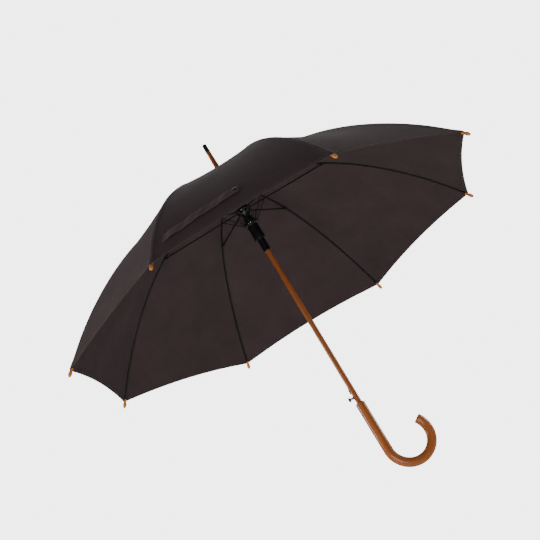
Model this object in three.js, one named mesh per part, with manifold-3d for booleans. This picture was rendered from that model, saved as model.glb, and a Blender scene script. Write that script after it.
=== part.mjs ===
// Stick umbrella, open, with an opening spring, a crook handle and wooden rib tips.
// Units are millimetres. The shaft runs along Z: the flat end of the ferrule cap is at
// z = 0 and everything else hangs below it. The crook curls towards +X.
import * as THREE from 'three';
import Module from 'manifold-3d';

const wasm = await Module();
wasm.setup();
const { Manifold, CrossSection } = wasm;

// ---------------------------------------------------------------- driving dimensions
export const RIBS = 8;
export const RIB_AZIMUTH_1 = 8.5;        // degrees from +X to rib 1
const GORE = 360 / RIBS;

// rib centreline, radius from the shaft's axis against height
const RIB_KNOTS = [
  [10, -113], [60, -115.3], [110, -120.6], [180, -134.2], [250, -160.4],
  [320, -199.4], [390, -250.9], [450, -305.7], [500, -360.1],
];
const RIB_R = 1.8;                        // half the rib's thickness
const CROWN_PIVOT = [10, -113];           // where a rib hinges in the crown
const JOINT_RADIUS = 228;                 // where a stretcher meets its rib
const RUNNER_PIVOT = [12, -181];          // where a stretcher hinges in the runner
const STRUT_AT = 45;                      // along the stretcher from the runner's pivot
const CUP_PIVOT = [15, -217.5];           // where a strut hinges in the spring cup
const HEM_RADIUS = 500;                   // fabric corner
const HEM_SCALLOP = 7;                    // how far the hem bows in between two ribs
const SAG = 9.5;                          // how far the cloth dips between two ribs
const CLOTH = 0.6;                        // canopy thickness
const CLOTH_GAP = 2.4;                    // rib centreline to the cloth's inner face

const SHAFT_R = 6;
const FERRULE_CAP_LEN = 19;
const FERRULE_BASE = -107.4;
const HANDLE_TOP = -683;
const HANDLE_R = 10.3;
const CROOK_CENTRE_Z = -799.5;
const CROOK_R = 49;
const CROOK_PAST = 0.606;                 // radians the crook turns past a half circle

const TUBE_R = 8.3;                       // runner's long tube
const RUNNER_TOP = -177;
const RUNNER_BOTTOM = -291.7;
const BORE_R = 6.35;
const CATCH_TOP = -642.4;
const CATCH_SHOULDER = -657.8;
const BUTTON_Z = -668.2;
const TRAVEL = 370.6;                     // runner, open to closed

const rad = (d) => (d * Math.PI) / 180;

// ---------------------------------------------------------------- rib curve
// natural cubic through the knots, as height over radius
function spline(knots) {
  const n = knots.length, x = knots.map((k) => k[0]), y = knots.map((k) => k[1]);
  const m = new Array(n).fill(0), u = new Array(n).fill(0);
  for (let i = 1; i < n - 1; i++) {
    const s = (x[i] - x[i - 1]) / (x[i + 1] - x[i - 1]);
    const p = s * m[i - 1] + 2;
    m[i] = (s - 1) / p;
    u[i] = (y[i + 1] - y[i]) / (x[i + 1] - x[i]) - (y[i] - y[i - 1]) / (x[i] - x[i - 1]);
    u[i] = (6 * u[i] / (x[i + 1] - x[i - 1]) - s * u[i - 1]) / p;
  }
  for (let i = n - 2; i >= 0; i--) m[i] = m[i] * m[i + 1] + u[i];
  return (r) => {
    let k = 0;
    while (k < n - 2 && r > x[k + 1]) k++;
    const h = x[k + 1] - x[k], a = (x[k + 1] - r) / h, b = (r - x[k]) / h;
    return a * y[k] + b * y[k + 1] + ((a ** 3 - a) * m[k] + (b ** 3 - b) * m[k + 1]) * h * h / 6;
  };
}
const ribZ = spline(RIB_KNOTS);
const ribSlope = (r) => (ribZ(Math.min(r + 0.5, 500)) - ribZ(Math.min(r + 0.5, 500) - 1));

// the rib as an even run of [radius, height] points, by arc length
function ribRun() {
  const pts = [];
  let s = 0, pr = CROWN_PIVOT[0], pz = ribZ(pr);
  pts.push([s, pr, pz]);
  for (let r = CROWN_PIVOT[0] + 0.25; r <= HEM_RADIUS + 1e-6; r += 0.25) {
    const z = ribZ(r);
    s += Math.hypot(r - pr, z - pz);
    pr = r; pz = z;
    pts.push([s, r, z]);
  }
  return pts;
}
const RUN = ribRun();
const RIB_ARC = RUN[RUN.length - 1][0];
function onRib(s) {
  if (s >= RIB_ARC) {
    const g = ribSlope(HEM_RADIUS), l = Math.hypot(1, g), d = (s - RIB_ARC) / l;
    return [HEM_RADIUS + d, ribZ(HEM_RADIUS) + g * d];
  }
  let lo = 0, hi = RUN.length - 1;
  while (hi - lo > 1) { const mid = (lo + hi) >> 1; if (RUN[mid][0] > s) hi = mid; else lo = mid; }
  const f = (s - RUN[lo][0]) / (RUN[hi][0] - RUN[lo][0]);
  return [RUN[lo][1] + f * (RUN[hi][1] - RUN[lo][1]), RUN[lo][2] + f * (RUN[hi][2] - RUN[lo][2])];
}
const JOINT = [JOINT_RADIUS, ribZ(JOINT_RADIUS)];
// the rib and the cloth bend at the same places, so they keep their distance
const BENDS = 14;
const RIB_END = RIB_ARC - 8;
const STATIONS = Array.from({ length: BENDS + 1 }, (_, i) => (i ? (RIB_END * i) / BENDS : 0));

// ---------------------------------------------------------------- mesh helpers
const group = new THREE.Group();
group.name = 'stick_umbrella';

const MATS = {
  wood: { color: 0xa85a24, roughness: 0.32, metalness: 0 },
  wood_dark: { color: 0x9c4f1e, roughness: 0.32, metalness: 0 },
  tip_wood: { color: 0xc07a34, roughness: 0.3, metalness: 0 },
  black_steel: { color: 0x1b1c1b, roughness: 0.4, metalness: 0.8 },
  bright_steel: { color: 0xb8b9b6, roughness: 0.25, metalness: 1 },
  black_plastic: { color: 0x161616, roughness: 0.45, metalness: 0 },
  canopy_cloth: { color: 0x2b2222, roughness: 0.85, metalness: 0 },
  brass: { color: 0x8f8a52, roughness: 0.35, metalness: 0.9 },
};

function add(name, geometry, mat) {
  const m = new THREE.MeshStandardMaterial(MATS[mat]);
  m.name = mat;
  const mesh = new THREE.Mesh(geometry, m);
  mesh.name = name;
  group.add(mesh);
}

function indexed(positions, triangles) {
  const g = new THREE.BufferGeometry();
  g.setAttribute('position', new THREE.Float32BufferAttribute(positions.flat(), 3));
  g.setIndex(triangles.flat());
  g.computeVertexNormals();
  return g;
}

// a ring of section points carried along a path; side is the constant sideways vector,
// section(i) gives [sideways, outward] offsets where outward = side x tangent
function sweep(path, side, section) {
  const pos = [], tri = [];
  const S = new THREE.Vector3(...side).normalize();
  const P = path.map((p) => new THREE.Vector3(...p));
  let n = 0;
  P.forEach((p, i) => {
    const T = new THREE.Vector3().subVectors(P[Math.min(i + 1, P.length - 1)], P[Math.max(i - 1, 0)]).normalize();
    const N = new THREE.Vector3().crossVectors(S, T).normalize();
    const ring = section(i);
    n = ring.length;
    ring.forEach(([a, b]) => {
      pos.push([p.x + S.x * a + N.x * b, p.y + S.y * a + N.y * b, p.z + S.z * a + N.z * b]);
    });
  });
  const L = P.length;
  for (let i = 0; i < L - 1; i++) for (let k = 0; k < n; k++) {
    const a = i * n + k, b = i * n + ((k + 1) % n), c = a + n, d = b + n;
    tri.push([a, d, b], [a, c, d]);
  }
  const c0 = pos.length; pos.push(P[0].toArray());
  const c1 = pos.length; pos.push(P[L - 1].toArray());
  for (let k = 0; k < n; k++) {
    tri.push([c0, k, (k + 1) % n]);
    tri.push([c1, (L - 1) * n + ((k + 1) % n), (L - 1) * n + k]);
  }
  return indexed(pos, tri);
}
const circle = (r, n) => Array.from({ length: n }, (_, k) => {
  const a = (2 * Math.PI * (k + 0.5)) / n;
  return [r * Math.cos(a), r * Math.sin(a)];
});

// turned solids: a closed [radius, height] outline about the shaft's axis
const turn = (outline, segs) => Manifold.revolve(new CrossSection([outline], 'EvenOdd'), segs);
const box = (sx, sy, sz, x, y, z) => Manifold.cube([sx, sy, sz], true).translate([x, y, z]);
function fromManifold(m) {
  const g = m.getMesh(), pos = [], tri = [], np = g.numProp;
  for (let i = 0; i < g.vertProperties.length / np; i++) {
    pos.push([g.vertProperties[i * np], g.vertProperties[i * np + 1], g.vertProperties[i * np + 2]]);
  }
  for (let i = 0; i < g.triVerts.length; i += 3) tri.push([g.triVerts[i], g.triVerts[i + 1], g.triVerts[i + 2]]);
  return indexed(pos, tri);
}
const slots = (r0, r1, width, z0, z1) => {
  let all = null;
  for (let k = 0; k < RIBS; k++) {
    const b = box(r1 - r0, width, z1 - z0, (r0 + r1) / 2, 0, (z0 + z1) / 2)
      .rotate([0, 0, RIB_AZIMUTH_1 + k * GORE]);
    all = all ? all.add(b) : b;
  }
  return all;
};

// a point in the plane of an azimuth: radius out, t sideways, height z
function at(az, r, t, z) {
  const c = Math.cos(az), s = Math.sin(az);
  return [r * c - t * s, r * s + t * c, z];
}
const across = (az) => [-Math.sin(az), Math.cos(az), 0];

// ---------------------------------------------------------------- shaft, ferrule, crown
add('shaft', fromManifold(
  turn([[0, -107.7], [5.4, -107.7], [SHAFT_R, -108.3], [SHAFT_R, -707], [0, -707]], 24)
    .subtract(box(9.5, 3.2, 17.4, -3.05, 0, (CATCH_TOP + CATCH_SHOULDER) / 2)) // pocket for the catch
    .subtract(box(9.5, 3.6, 5.6, -3.05, 0, BUTTON_Z))                          // and for the button's stem
), 'wood');

add('ferrule', fromManifold(
  turn([[0, -FERRULE_CAP_LEN - 0.3], [4.6, -FERRULE_CAP_LEN - 0.3], [4.9, -FERRULE_CAP_LEN - 0.9],
    [5.6, -62], [6.1, -96], [6.2, FERRULE_BASE + 1], [5.8, FERRULE_BASE], [0, FERRULE_BASE]], 24)), 'wood');

add('ferrule_cap', fromManifold(
  turn([[0, 0], [3.9, 0], [4.6, -0.8], [4.8, -2.5], [5.1, -FERRULE_CAP_LEN + 1.5],
    [5.3, -FERRULE_CAP_LEN + 1], [5.3, -FERRULE_CAP_LEN], [0, -FERRULE_CAP_LEN]], 24)), 'black_steel');

add('canopy_rosette', fromManifold(
  turn([[6.6, -107.6], [10.5, -107.8], [14.5, -109.0], [14.5, -109.6], [6.6, -109.4]], 24)), 'canopy_cloth');

add('crown', fromManifold(
  turn([[6.3, -111.4], [14, -111.4], [14, -119.5], [11.5, -121], [8.6, -126], [6.3, -126]], 24)
    .subtract(slots(8.1, 16, 4.4, -122, -110))
    .subtract(turn([[13.1, -116.6], [14.5, -116.6], [14.5, -118.2], [13.1, -118.2]], 24))), 'black_plastic');

add('crown_wire', fromManifold(
  turn([[13.3, -116.8], [14.2, -116.8], [14.4, -117.4], [14.2, -118], [13.3, -118]], 24)), 'bright_steel');

// ---------------------------------------------------------------- handle
{
  const path = [];
  const centre = [CROOK_R, CROOK_CENTRE_Z];
  const top = HANDLE_TOP;
  for (const z of [top, top - 0.8, top - 2.5, top - 30, top - 75]) path.push([0, 0, z]);
  const end = Math.PI + CROOK_PAST, steps = 22;
  for (let k = 0; k <= steps; k++) {
    const a = (end * k) / steps;
    path.push([centre[0] - CROOK_R * Math.cos(a), 0, centre[1] - CROOK_R * Math.sin(a)]);
  }
  // rounded-over end of the crook
  const a = end, dir = [Math.sin(a), -Math.cos(a)];
  const last = path[path.length - 1];
  path.push([last[0] + dir[0] * 2.2, 0, last[2] + dir[1] * 2.2]);
  path.push([last[0] + dir[0] * 3.2, 0, last[2] + dir[1] * 3.2]);
  const n = path.length;
  const radius = (i) => (i === 0 ? HANDLE_R - 1.6 : i === 1 ? HANDLE_R - 0.6 : i === n - 1 ? HANDLE_R - 2 : i === n - 2 ? HANDLE_R - 0.6 : HANDLE_R);
  const g = sweep(path, [0, 1, 0], (i) => circle(radius(i), 14));
  const np = 3, v = g.getAttribute('position').array, ix = g.getIndex().array;
  let solid = new Manifold(new wasm.Mesh({ numProp: np, vertProperties: new Float32Array(v), triVerts: new Uint32Array(ix) }));
  solid = solid.subtract(turn([[0, -680], [6.3, -680], [6.3, -707.4], [0, -707.4]], 24));
  add('handle', fromManifold(solid), 'wood_dark');
}

// ---------------------------------------------------------------- catch and button
{
  // wedge: the slope faces up, the flat shoulder faces down
  const prof = [[-3.2, CATCH_TOP], [-6.2, CATCH_TOP - 0.6], [-8.1, CATCH_SHOULDER + 2.5], [-8.1, CATCH_SHOULDER],
    [-3.2, CATCH_SHOULDER]];
  const w = 2.4;
  const m = Manifold.extrude(new CrossSection([prof], 'EvenOdd'), w).rotate([90, 0, 0]).translate([0, w / 2, 0]);
  add('hand_catch', fromManifold(m), 'black_steel');
}
{
  // a rounded head on a slotted stem
  const head = Manifold.sphere(1, 20).scale([3.0, 3.6, 5.4]).translate([-15.2, 0, BUTTON_Z])
    .intersect(box(3.9, 10, 14, -16.25, 0, BUTTON_Z));
  const stem = box(13.2, 2.8, 4.8, -8.7, 0, BUTTON_Z).subtract(box(4.4, 6, 1.8, -10.4, 0, BUTTON_Z));
  add('push_button', fromManifold(head.add(stem)), 'brass');
}

// ---------------------------------------------------------------- runner with its tube
{
  const flare = [[BORE_R, RUNNER_TOP], [15.6, RUNNER_TOP], [17.6, RUNNER_TOP - 1.6], [17.6, RUNNER_TOP - 7],
    [14.6, RUNNER_TOP - 9.4], [11.2, RUNNER_TOP - 13.6], [9.2, RUNNER_TOP - 18.6], [8.7, RUNNER_TOP - 21.8],
    [TUBE_R, RUNNER_TOP - 22], [TUBE_R, RUNNER_BOTTOM + 3.6], [8.8, RUNNER_BOTTOM + 3.2], [8.8, RUNNER_BOTTOM + 0.6], [8.2, RUNNER_BOTTOM], [BORE_R, RUNNER_BOTTOM]];
  let m = turn(flare, 32)
    .subtract(slots(9.6, 19, 4.6, -184.6, -176))   // one slot for each stretcher
    .subtract(slots(12.4, 19, 7.8, -190, -176))    // wider further out, for the folded struts
    .subtract(turn([[12.9, -183.8], [18.5, -183.8], [18.5, -182.2], [12.9, -182.2]], 32));  // groove for the wire
  // window that the catch springs into when the umbrella is closed
  m = m.subtract(box(6, 3.6, 17.2, -9, 0, CATCH_SHOULDER + TRAVEL - 0.4 + 8.6));
  add('runner', fromManifold(m), 'black_plastic');
}
add('runner_wire', fromManifold(
  turn([[13.15, -182.6], [13.7, -182.4], [13.95, -183.0], [13.7, -183.6], [13.15, -183.4]], 32)), 'bright_steel');

// coil spring between the runner's head and the bottom of the cup
{
  const turns = 16, per = 10, top = -199.9, bottom = -254.4, R = 9.85, w = 0.75;
  const pos = [], tri = [], n = 4, N = turns * per;
  for (let i = 0; i <= N; i++) {
    const a = (2 * Math.PI * i) / per, z = top - w - ((top - bottom - 2 * w) * i) / N;
    for (let k = 0; k < n; k++) {
      const b = (2 * Math.PI * k) / n, rr = R + w * Math.cos(b);
      pos.push([rr * Math.cos(a), rr * Math.sin(a), z + w * Math.sin(b)]);
    }
  }
  for (let i = 0; i < N; i++) for (let k = 0; k < n; k++) {
    const a = i * n + k, b = i * n + ((k + 1) % n), c = a + n, d = b + n;
    tri.push([a, d, b], [a, c, d]);
  }
  for (let k = 1; k < n - 1; k++) {
    tri.push([0, k, k + 1]);
    tri.push([N * n, N * n + k + 1, N * n + k]);
  }
  add('runner_spring', indexed(pos, tri), 'black_steel');
}

// ---------------------------------------------------------------- spring cup (slides on the tube)
{
  const m = turn([[11.55, -212.6], [15.8, -212.6], [16.4, -213.2], [16.4, -214.6], [13.4, -215.2], [13.4, -219.9],
    [16.4, -220.5], [16.4, -221.9], [15.8, -222.5], [12.6, -223.2], [12.4, -224], [12.4, -257.6],
    [8.65, -257.6], [8.65, -255.2], [11.55, -255.2]], 24)
    .subtract(slots(13.2, 18, 7.4, -216, -211));
  add('spring_cup', fromManifold(m), 'black_plastic');
}
add('cup_ring', fromManifold(
  turn([[8.75, -257.9], [12.5, -257.9], [12.9, -258.6], [12.9, -260.4], [12.5, -261.1], [8.75, -261.1]], 24)), 'bright_steel');
add('cup_wire', fromManifold(
  turn([[13.7, -219.0], [14.2, -218.9], [14.4, -219.2], [14.2, -219.6], [13.7, -219.5]], 24)), 'bright_steel');

// ---------------------------------------------------------------- ribs, tips, stretchers, struts
const stretchLen = Math.hypot(JOINT[0] - RUNNER_PIVOT[0], JOINT[1] - RUNNER_PIVOT[1]);
const stretchUp = Math.atan2(JOINT[1] - RUNNER_PIVOT[1], JOINT[0] - RUNNER_PIVOT[0]);
for (let k = 0; k < RIBS; k++) {
  const id = k + 1, az = rad(RIB_AZIMUTH_1 + k * GORE), side = across(az);

  // rib: a bent rod from the crown to the wooden tip
  add(`rib_${id}`, sweep(STATIONS.map((s) => { const [r, z] = onRib(s); return at(az, r - (s === 0 ? 1 : 0), 0, z); }),
    side, () => circle(RIB_R, 6)), 'black_steel');

  // turned wooden tip in line with the rib's end
  const tip = [[-7.6, 2.2], [-7.2, 3.0], [-2.5, 3.4], [-0.6, 2.7], [0.9, 2.7], [2.4, 3.7], [6.5, 4.1], [10.6, 3.5], [13.2, 2.3], [13.9, 1.2]];
  add(`rib_tip_${id}`, sweep(tip.map(([d]) => { const [r, z] = onRib(RIB_ARC + d); return at(az, r, 0, z); }),
    side, (i) => circle(tip[i][1], 8)), 'tip_wood');

  // stretcher: straight bar, forked round the rib at its outer end
  {
    const h = 0.85, w = 1.7, W = 3.1, gap = 2.1, L = stretchLen - 1.7;
    const plan = [[-2.2, -w], [L - 16, -w], [L - 11, -W], [L + 2.6, -W], [L + 2.6, -gap], [L - 8, -gap], [L - 10, 0],
      [L - 8, gap], [L + 2.6, gap], [L + 2.6, W], [L - 11, W], [L - 16, w], [-2.2, w]];
    const m = Manifold.extrude(new CrossSection([plan], 'EvenOdd'), 2 * h).translate([0, 0, -h])
      .rotate([0, -(stretchUp * 180) / Math.PI, 0])
      .translate([RUNNER_PIVOT[0], 0, RUNNER_PIVOT[1]]).rotate([0, 0, RIB_AZIMUTH_1 + k * GORE]);
    add(`stretcher_${id}`, fromManifold(m), 'black_steel');
  }

  // strut: one bent wire with a leg on each side of the stretcher
  {
    const a = CUP_PIVOT;
    const b = [RUNNER_PIVOT[0] + STRUT_AT * Math.cos(stretchUp), RUNNER_PIVOT[1] + STRUT_AT * Math.sin(stretchUp)];
    const len = Math.hypot(b[0] - a[0], b[1] - a[1]), u = [(b[0] - a[0]) / len, (b[1] - a[1]) / len];
    const t = 2.7, c = 0.8, out = len + 1.5;
    const legs = [[out, t], [c, t], [0.2, t - 0.2], [0, t - c], [0, c - t], [0.2, 0.2 - t], [c, -t], [out, -t]];
    const wire = sweep(legs.map(([d, w]) => at(az, a[0] + u[0] * d, w, a[1] + u[1] * d)),
      at(az, u[1], 0, -u[0]), () => circle(0.7, 6));
    add(`strut_${id}`, wire, 'black_steel');
  }
}

// ---------------------------------------------------------------- canopy
// cloth point between rib k and rib k + 1: u across the gore, q along the rib (0 to 1)
const CLOTH_FROM = 9.2;
const TIP_ROOM = 1.9;
function clothPoint(k, u, q, lift) {
  const bow = HEM_SCALLOP * 4 * u * (1 - u) * q * q;
  const rr = CLOTH_FROM + (HEM_RADIUS - CLOTH_FROM - bow) * q;
  const g = ribSlope(rr), l = Math.hypot(1, g);
  const dip = SAG * 4 * u * (1 - u) * Math.sin(Math.PI * Math.min(q, 1) ** 1.25) ** 1.3;
  const gap = CLOTH_GAP + lift - dip + (q > 0.95 ? TIP_ROOM : 0);      // the corner clears the wooden tip
  const R = rr - (g / l) * gap, Z = ribZ(Math.max(rr, 10)) + gap / l;
  const a0 = rad(RIB_AZIMUTH_1 + k * GORE), a1 = rad(RIB_AZIMUTH_1 + (k + 1) * GORE);
  const c0 = [Math.cos(a0), Math.sin(a0)], c1 = [Math.cos(a1), Math.sin(a1)];
  // flat across the gore, and a hair short of the neighbour's edge
  const e = Math.min(0.15 / (R * 0.765 + 1e-9), 0.2);
  const f = e + (1 - 2 * e) * u;
  return [R * (c0[0] * (1 - f) + c1[0] * f), R * (c0[1] * (1 - f) + c1[1] * f), Z];
}
for (let k = 0; k < RIBS; k++) {
  const nu = 4;
  const qs = [0, ...STATIONS.slice(1).map((s) => (onRib(s)[0] - CLOTH_FROM) / (HEM_RADIUS - CLOTH_FROM)), 1];
  const nv = qs.length - 1, pos = [], tri = [];
  const idx = (layer, i, j) => layer * (nu + 1) * (nv + 1) + j * (nu + 1) + i;
  for (const lift of [CLOTH, 0]) for (let j = 0; j <= nv; j++) for (let i = 0; i <= nu; i++) pos.push(clothPoint(k, i / nu, qs[j], lift));
  for (let j = 0; j < nv; j++) for (let i = 0; i < nu; i++) {
    const a = idx(0, i, j), b = idx(0, i + 1, j), c = idx(0, i, j + 1), d = idx(0, i + 1, j + 1);
    tri.push([a, c, d], [a, d, b]);
    const A = idx(1, i, j), B = idx(1, i + 1, j), C = idx(1, i, j + 1), D = idx(1, i + 1, j + 1);
    tri.push([A, D, C], [A, B, D]);
  }
  const wall = (a, b, A, B) => tri.push([a, b, B], [a, B, A]);
  for (let i = 0; i < nu; i++) {
    wall(idx(0, i, 0), idx(0, i + 1, 0), idx(1, i, 0), idx(1, i + 1, 0));
    wall(idx(0, i + 1, nv), idx(0, i, nv), idx(1, i + 1, nv), idx(1, i, nv));
  }
  for (let j = 0; j < nv; j++) {
    wall(idx(0, 0, j + 1), idx(0, 0, j), idx(1, 0, j + 1), idx(1, 0, j));
    wall(idx(0, nu, j), idx(0, nu, j + 1), idx(1, nu, j), idx(1, nu, j + 1));
  }
  add(`canopy_panel_${k + 1}`, indexed(pos, tri), 'canopy_cloth');
}

// ---------------------------------------------------------------- tie strap on the front panel
{
  const PANEL = 5;                        // between rib 6 and rib 7
  const A = { u: 0.07, q: 0.922 }, B = { u: 0.55, q: 0.9 };
  const n = 8, half = 0.018, pos = [], tri = [];
  for (const lift of [CLOTH + 1.75, CLOTH + 0.9]) for (let i = 0; i <= n; i++) for (const s of [-1, 1]) {
    const f = i / n;
    pos.push(clothPoint(PANEL, A.u + (B.u - A.u) * f, A.q + (B.q - A.q) * f + s * half, lift));
  }
  const L = 2 * (n + 1);
  for (let i = 0; i < n; i++) {
    const a = 2 * i, b = a + 1, c = a + 2, d = a + 3;
    tri.push([a, b, d], [a, d, c], [L + a, L + d, L + b], [L + a, L + c, L + d]);
    tri.push([a, c, L + c], [a, L + c, L + a], [b, L + b, L + d], [b, L + d, d]);
  }
  tri.push([0, L, L + 1], [0, L + 1, 1]);
  const e = 2 * n;
  tri.push([e, e + 1, L + e + 1], [e, L + e + 1, L + e]);
  add('tie_strap', indexed(pos, tri), 'canopy_cloth');

  // press stud near the strap's free end: a low domed disc lying on the strap
  const f = 0.94, c = (df, dq, lift) => new THREE.Vector3(...clothPoint(PANEL, A.u + (B.u - A.u) * (f + df), A.q + (B.q - A.q) * f + dq, lift));
  const mid = c(0, 0, CLOTH + 2.2), ex = c(0.02, 0, CLOTH + 2.2).sub(mid).normalize();
  const up = new THREE.Vector3().crossVectors(ex, c(0, 0.01, CLOTH + 2.2).sub(mid)).normalize();
  if (up.z < 0) up.negate();
  const ey = new THREE.Vector3().crossVectors(up, ex);
  const rings = [[5.2, 0], [5.2, 0.7], [4.2, 1.4], [2.2, 1.8]], m = 12, sp = [], st = [];
  for (const [r, h] of rings) for (let k = 0; k < m; k++) {
    const a = (2 * Math.PI * k) / m;
    sp.push(mid.clone().addScaledVector(ex, r * Math.cos(a)).addScaledVector(ey, r * Math.sin(a)).addScaledVector(up, h).toArray());
  }
  for (let i = 0; i < rings.length - 1; i++) for (let k = 0; k < m; k++) {
    const a = i * m + k, b = i * m + ((k + 1) % m);
    st.push([a, b, b + m], [a, b + m, a + m]);
  }
  for (let k = 1; k < m - 1; k++) {
    st.push([0, k + 1, k]);
    st.push([(rings.length - 1) * m, (rings.length - 1) * m + k, (rings.length - 1) * m + k + 1]);
  }
  add('strap_snap', indexed(sp, st), 'bright_steel');
}

export default group;
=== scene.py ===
"""Stick umbrella with a wooden crook handle, built over its CAD frame.

Lengths are metres. The shaft runs down the Z axis from the flat end of the ferrule
cap at z = 0, the crook curls towards +X, and rib 1 stands 8.5 degrees round from +X.
"""

import functools
import math

import bpy
import numpy as np
from bpy.props import FloatProperty, FloatVectorProperty, IntProperty, PointerProperty
from mathutils import Matrix, Vector


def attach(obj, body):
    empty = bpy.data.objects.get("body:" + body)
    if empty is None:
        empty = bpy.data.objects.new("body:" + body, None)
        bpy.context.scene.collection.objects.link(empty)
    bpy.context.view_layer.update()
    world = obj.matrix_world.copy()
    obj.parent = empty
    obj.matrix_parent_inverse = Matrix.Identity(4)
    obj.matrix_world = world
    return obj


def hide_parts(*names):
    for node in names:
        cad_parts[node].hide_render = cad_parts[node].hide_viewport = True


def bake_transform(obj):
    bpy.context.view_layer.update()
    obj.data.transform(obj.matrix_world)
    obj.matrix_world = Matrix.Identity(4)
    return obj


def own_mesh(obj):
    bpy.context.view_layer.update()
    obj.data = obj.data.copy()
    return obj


bl_info = {
    "name": "Stick Umbrella",
    "version": (1, 0, 0),
    "blender": (4, 5, 0),
    "location": "3D View > Sidebar > Umbrella",
    "description": "Builds an open stick umbrella with a wooden crook handle",
    "category": "Object",
}

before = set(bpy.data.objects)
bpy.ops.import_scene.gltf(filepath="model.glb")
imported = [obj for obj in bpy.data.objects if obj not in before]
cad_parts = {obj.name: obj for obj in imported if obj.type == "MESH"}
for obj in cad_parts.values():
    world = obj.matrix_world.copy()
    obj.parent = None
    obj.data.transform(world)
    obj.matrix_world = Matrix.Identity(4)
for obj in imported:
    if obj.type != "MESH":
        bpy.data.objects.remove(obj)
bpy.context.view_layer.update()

# ------------------------------------------------------------------ fixed places
RIBS = 8
GORE = 2 * math.pi / RIBS

# the rib's centreline, radius against height
RIB_KNOTS = np.array([
    (0.010, -0.1130), (0.060, -0.1153), (0.110, -0.1206), (0.180, -0.1342), (0.250, -0.1604),
    (0.320, -0.1994), (0.390, -0.2509), (0.450, -0.3057), (0.500, -0.3601),
])
JOINT_RADIUS = 0.228        # where a stretcher meets its rib
RUNNER_PIVOT = (0.012, -0.181)
CUP_PIVOT = (0.015, -0.2175)
STRUT_AT = 0.045            # along the stretcher from the runner
HEM_RADIUS = 0.500
RIB_STEP = 0.0005           # step in radius along the rib's curve
CLOTH_FROM = 0.0092         # the canopy's top edge

FERRULE_BASE = -0.1074
CAP_LENGTH = 0.019
SHAFT_TOP = -0.1077
SHAFT_FOOT = -0.707
HANDLE_TOP = -0.683
CROOK_CENTRE = -0.7995
CROOK_PAST = 0.606          # how far the crook turns past a half circle
CATCH_TOP = -0.6424
CATCH_SHOULDER = -0.6578
BUTTON_HEIGHT = -0.6682

RUNNER_TOP = -0.177
RUNNER_FOOT = -0.2917
RUNNER_TRAVEL = 0.3706      # from open to shut
SPRING_TOP = -0.1999
SPRING_FOOT = -0.2544
BORE = 0.00635

STAND = "shaft_and_handle"  # the body that the shaft belongs to


def spline(knots):
    """Natural cubic through (x, y) knots, as a function that takes arrays."""
    x, y = knots[:, 0], knots[:, 1]
    n = len(x)
    h = np.diff(x)
    a = np.zeros((n, n))
    b = np.zeros(n)
    a[0, 0] = a[-1, -1] = 1
    for i in range(1, n - 1):
        a[i, i - 1], a[i, i], a[i, i + 1] = h[i - 1], 2 * (h[i - 1] + h[i]), h[i]
        b[i] = 6 * ((y[i + 1] - y[i]) / h[i] - (y[i] - y[i - 1]) / h[i - 1])
    m = np.linalg.solve(a, b)

    def value(r):
        r = np.asarray(r, float)
        k = np.clip(np.searchsorted(x, r) - 1, 0, n - 2)
        p, q = (x[k + 1] - r) / h[k], (r - x[k]) / h[k]
        return p * y[k] + q * y[k + 1] + ((p**3 - p) * m[k] + (q**3 - q) * m[k + 1]) * h[k] ** 2 / 6

    return value


rib_height = spline(RIB_KNOTS)


def rib_slope(r):
    """Fall of the rib at radius r."""
    r = np.minimum(np.asarray(r, float), HEM_RADIUS)
    return (rib_height(r) - rib_height(r - RIB_STEP)) / RIB_STEP


# the rib's curve in small steps, with the length run so far
RIB_RADII = np.arange(0.010, HEM_RADIUS + 1e-9, RIB_STEP)
RIB_HEIGHTS = rib_height(RIB_RADII)
RIB_RUN = np.concatenate([[0], np.cumsum(np.hypot(np.diff(RIB_RADII), np.diff(RIB_HEIGHTS)))])
RIB_ARC = float(RIB_RUN[-1])
JOINT = (JOINT_RADIUS, float(rib_height(JOINT_RADIUS)))
JOINT_ARC = float(np.interp(JOINT_RADIUS, RIB_RADII, RIB_RUN))


def on_rib(s):
    """(radius, height) at arc length s, carried straight on past the hem."""
    s = np.asarray(s, float)
    r, z = np.interp(s, RIB_RUN, RIB_RADII), np.interp(s, RIB_RUN, RIB_HEIGHTS)
    g = float(rib_slope(HEM_RADIUS))
    past = np.maximum(s - RIB_ARC, 0) / math.hypot(1, g)
    return r + past, z + g * past


def sizes():
    return bpy.context.scene.umbrella_sizes


def colours():
    return bpy.context.scene.umbrella_colours


def azimuth(k):
    """Angle of rib k, counted from 0."""
    return sizes().first_rib + k * GORE


def around(az, r, t, z):
    """Points at radius r, t to the left, height z, in the plane of an azimuth."""
    c, s = math.cos(az), math.sin(az)
    r, t, z = np.broadcast_arrays(r, t, z)
    return np.stack([r * c - t * s, r * s + t * c, z], -1).astype(float)


def ease(x, a, b):
    """0 before a, 1 after b, smooth between."""
    x = np.clip((np.asarray(x, float) - a) / (b - a), 0, 1)
    return x * x * (3 - 2 * x)


# ------------------------------------------------------------------ mesh helpers
CREASE = 35.0               # degrees past which an edge is drawn sharp


def outward(points, faces):
    """The faces turned so that a closed shape has a positive volume."""
    volume = 0.0
    for f in faces:
        a = points[f[0]]
        for i in range(1, len(f) - 1):
            volume += np.dot(a, np.cross(points[f[i]], points[f[i + 1]]))
    return faces if volume > 0 else [f[::-1] for f in faces]


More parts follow.
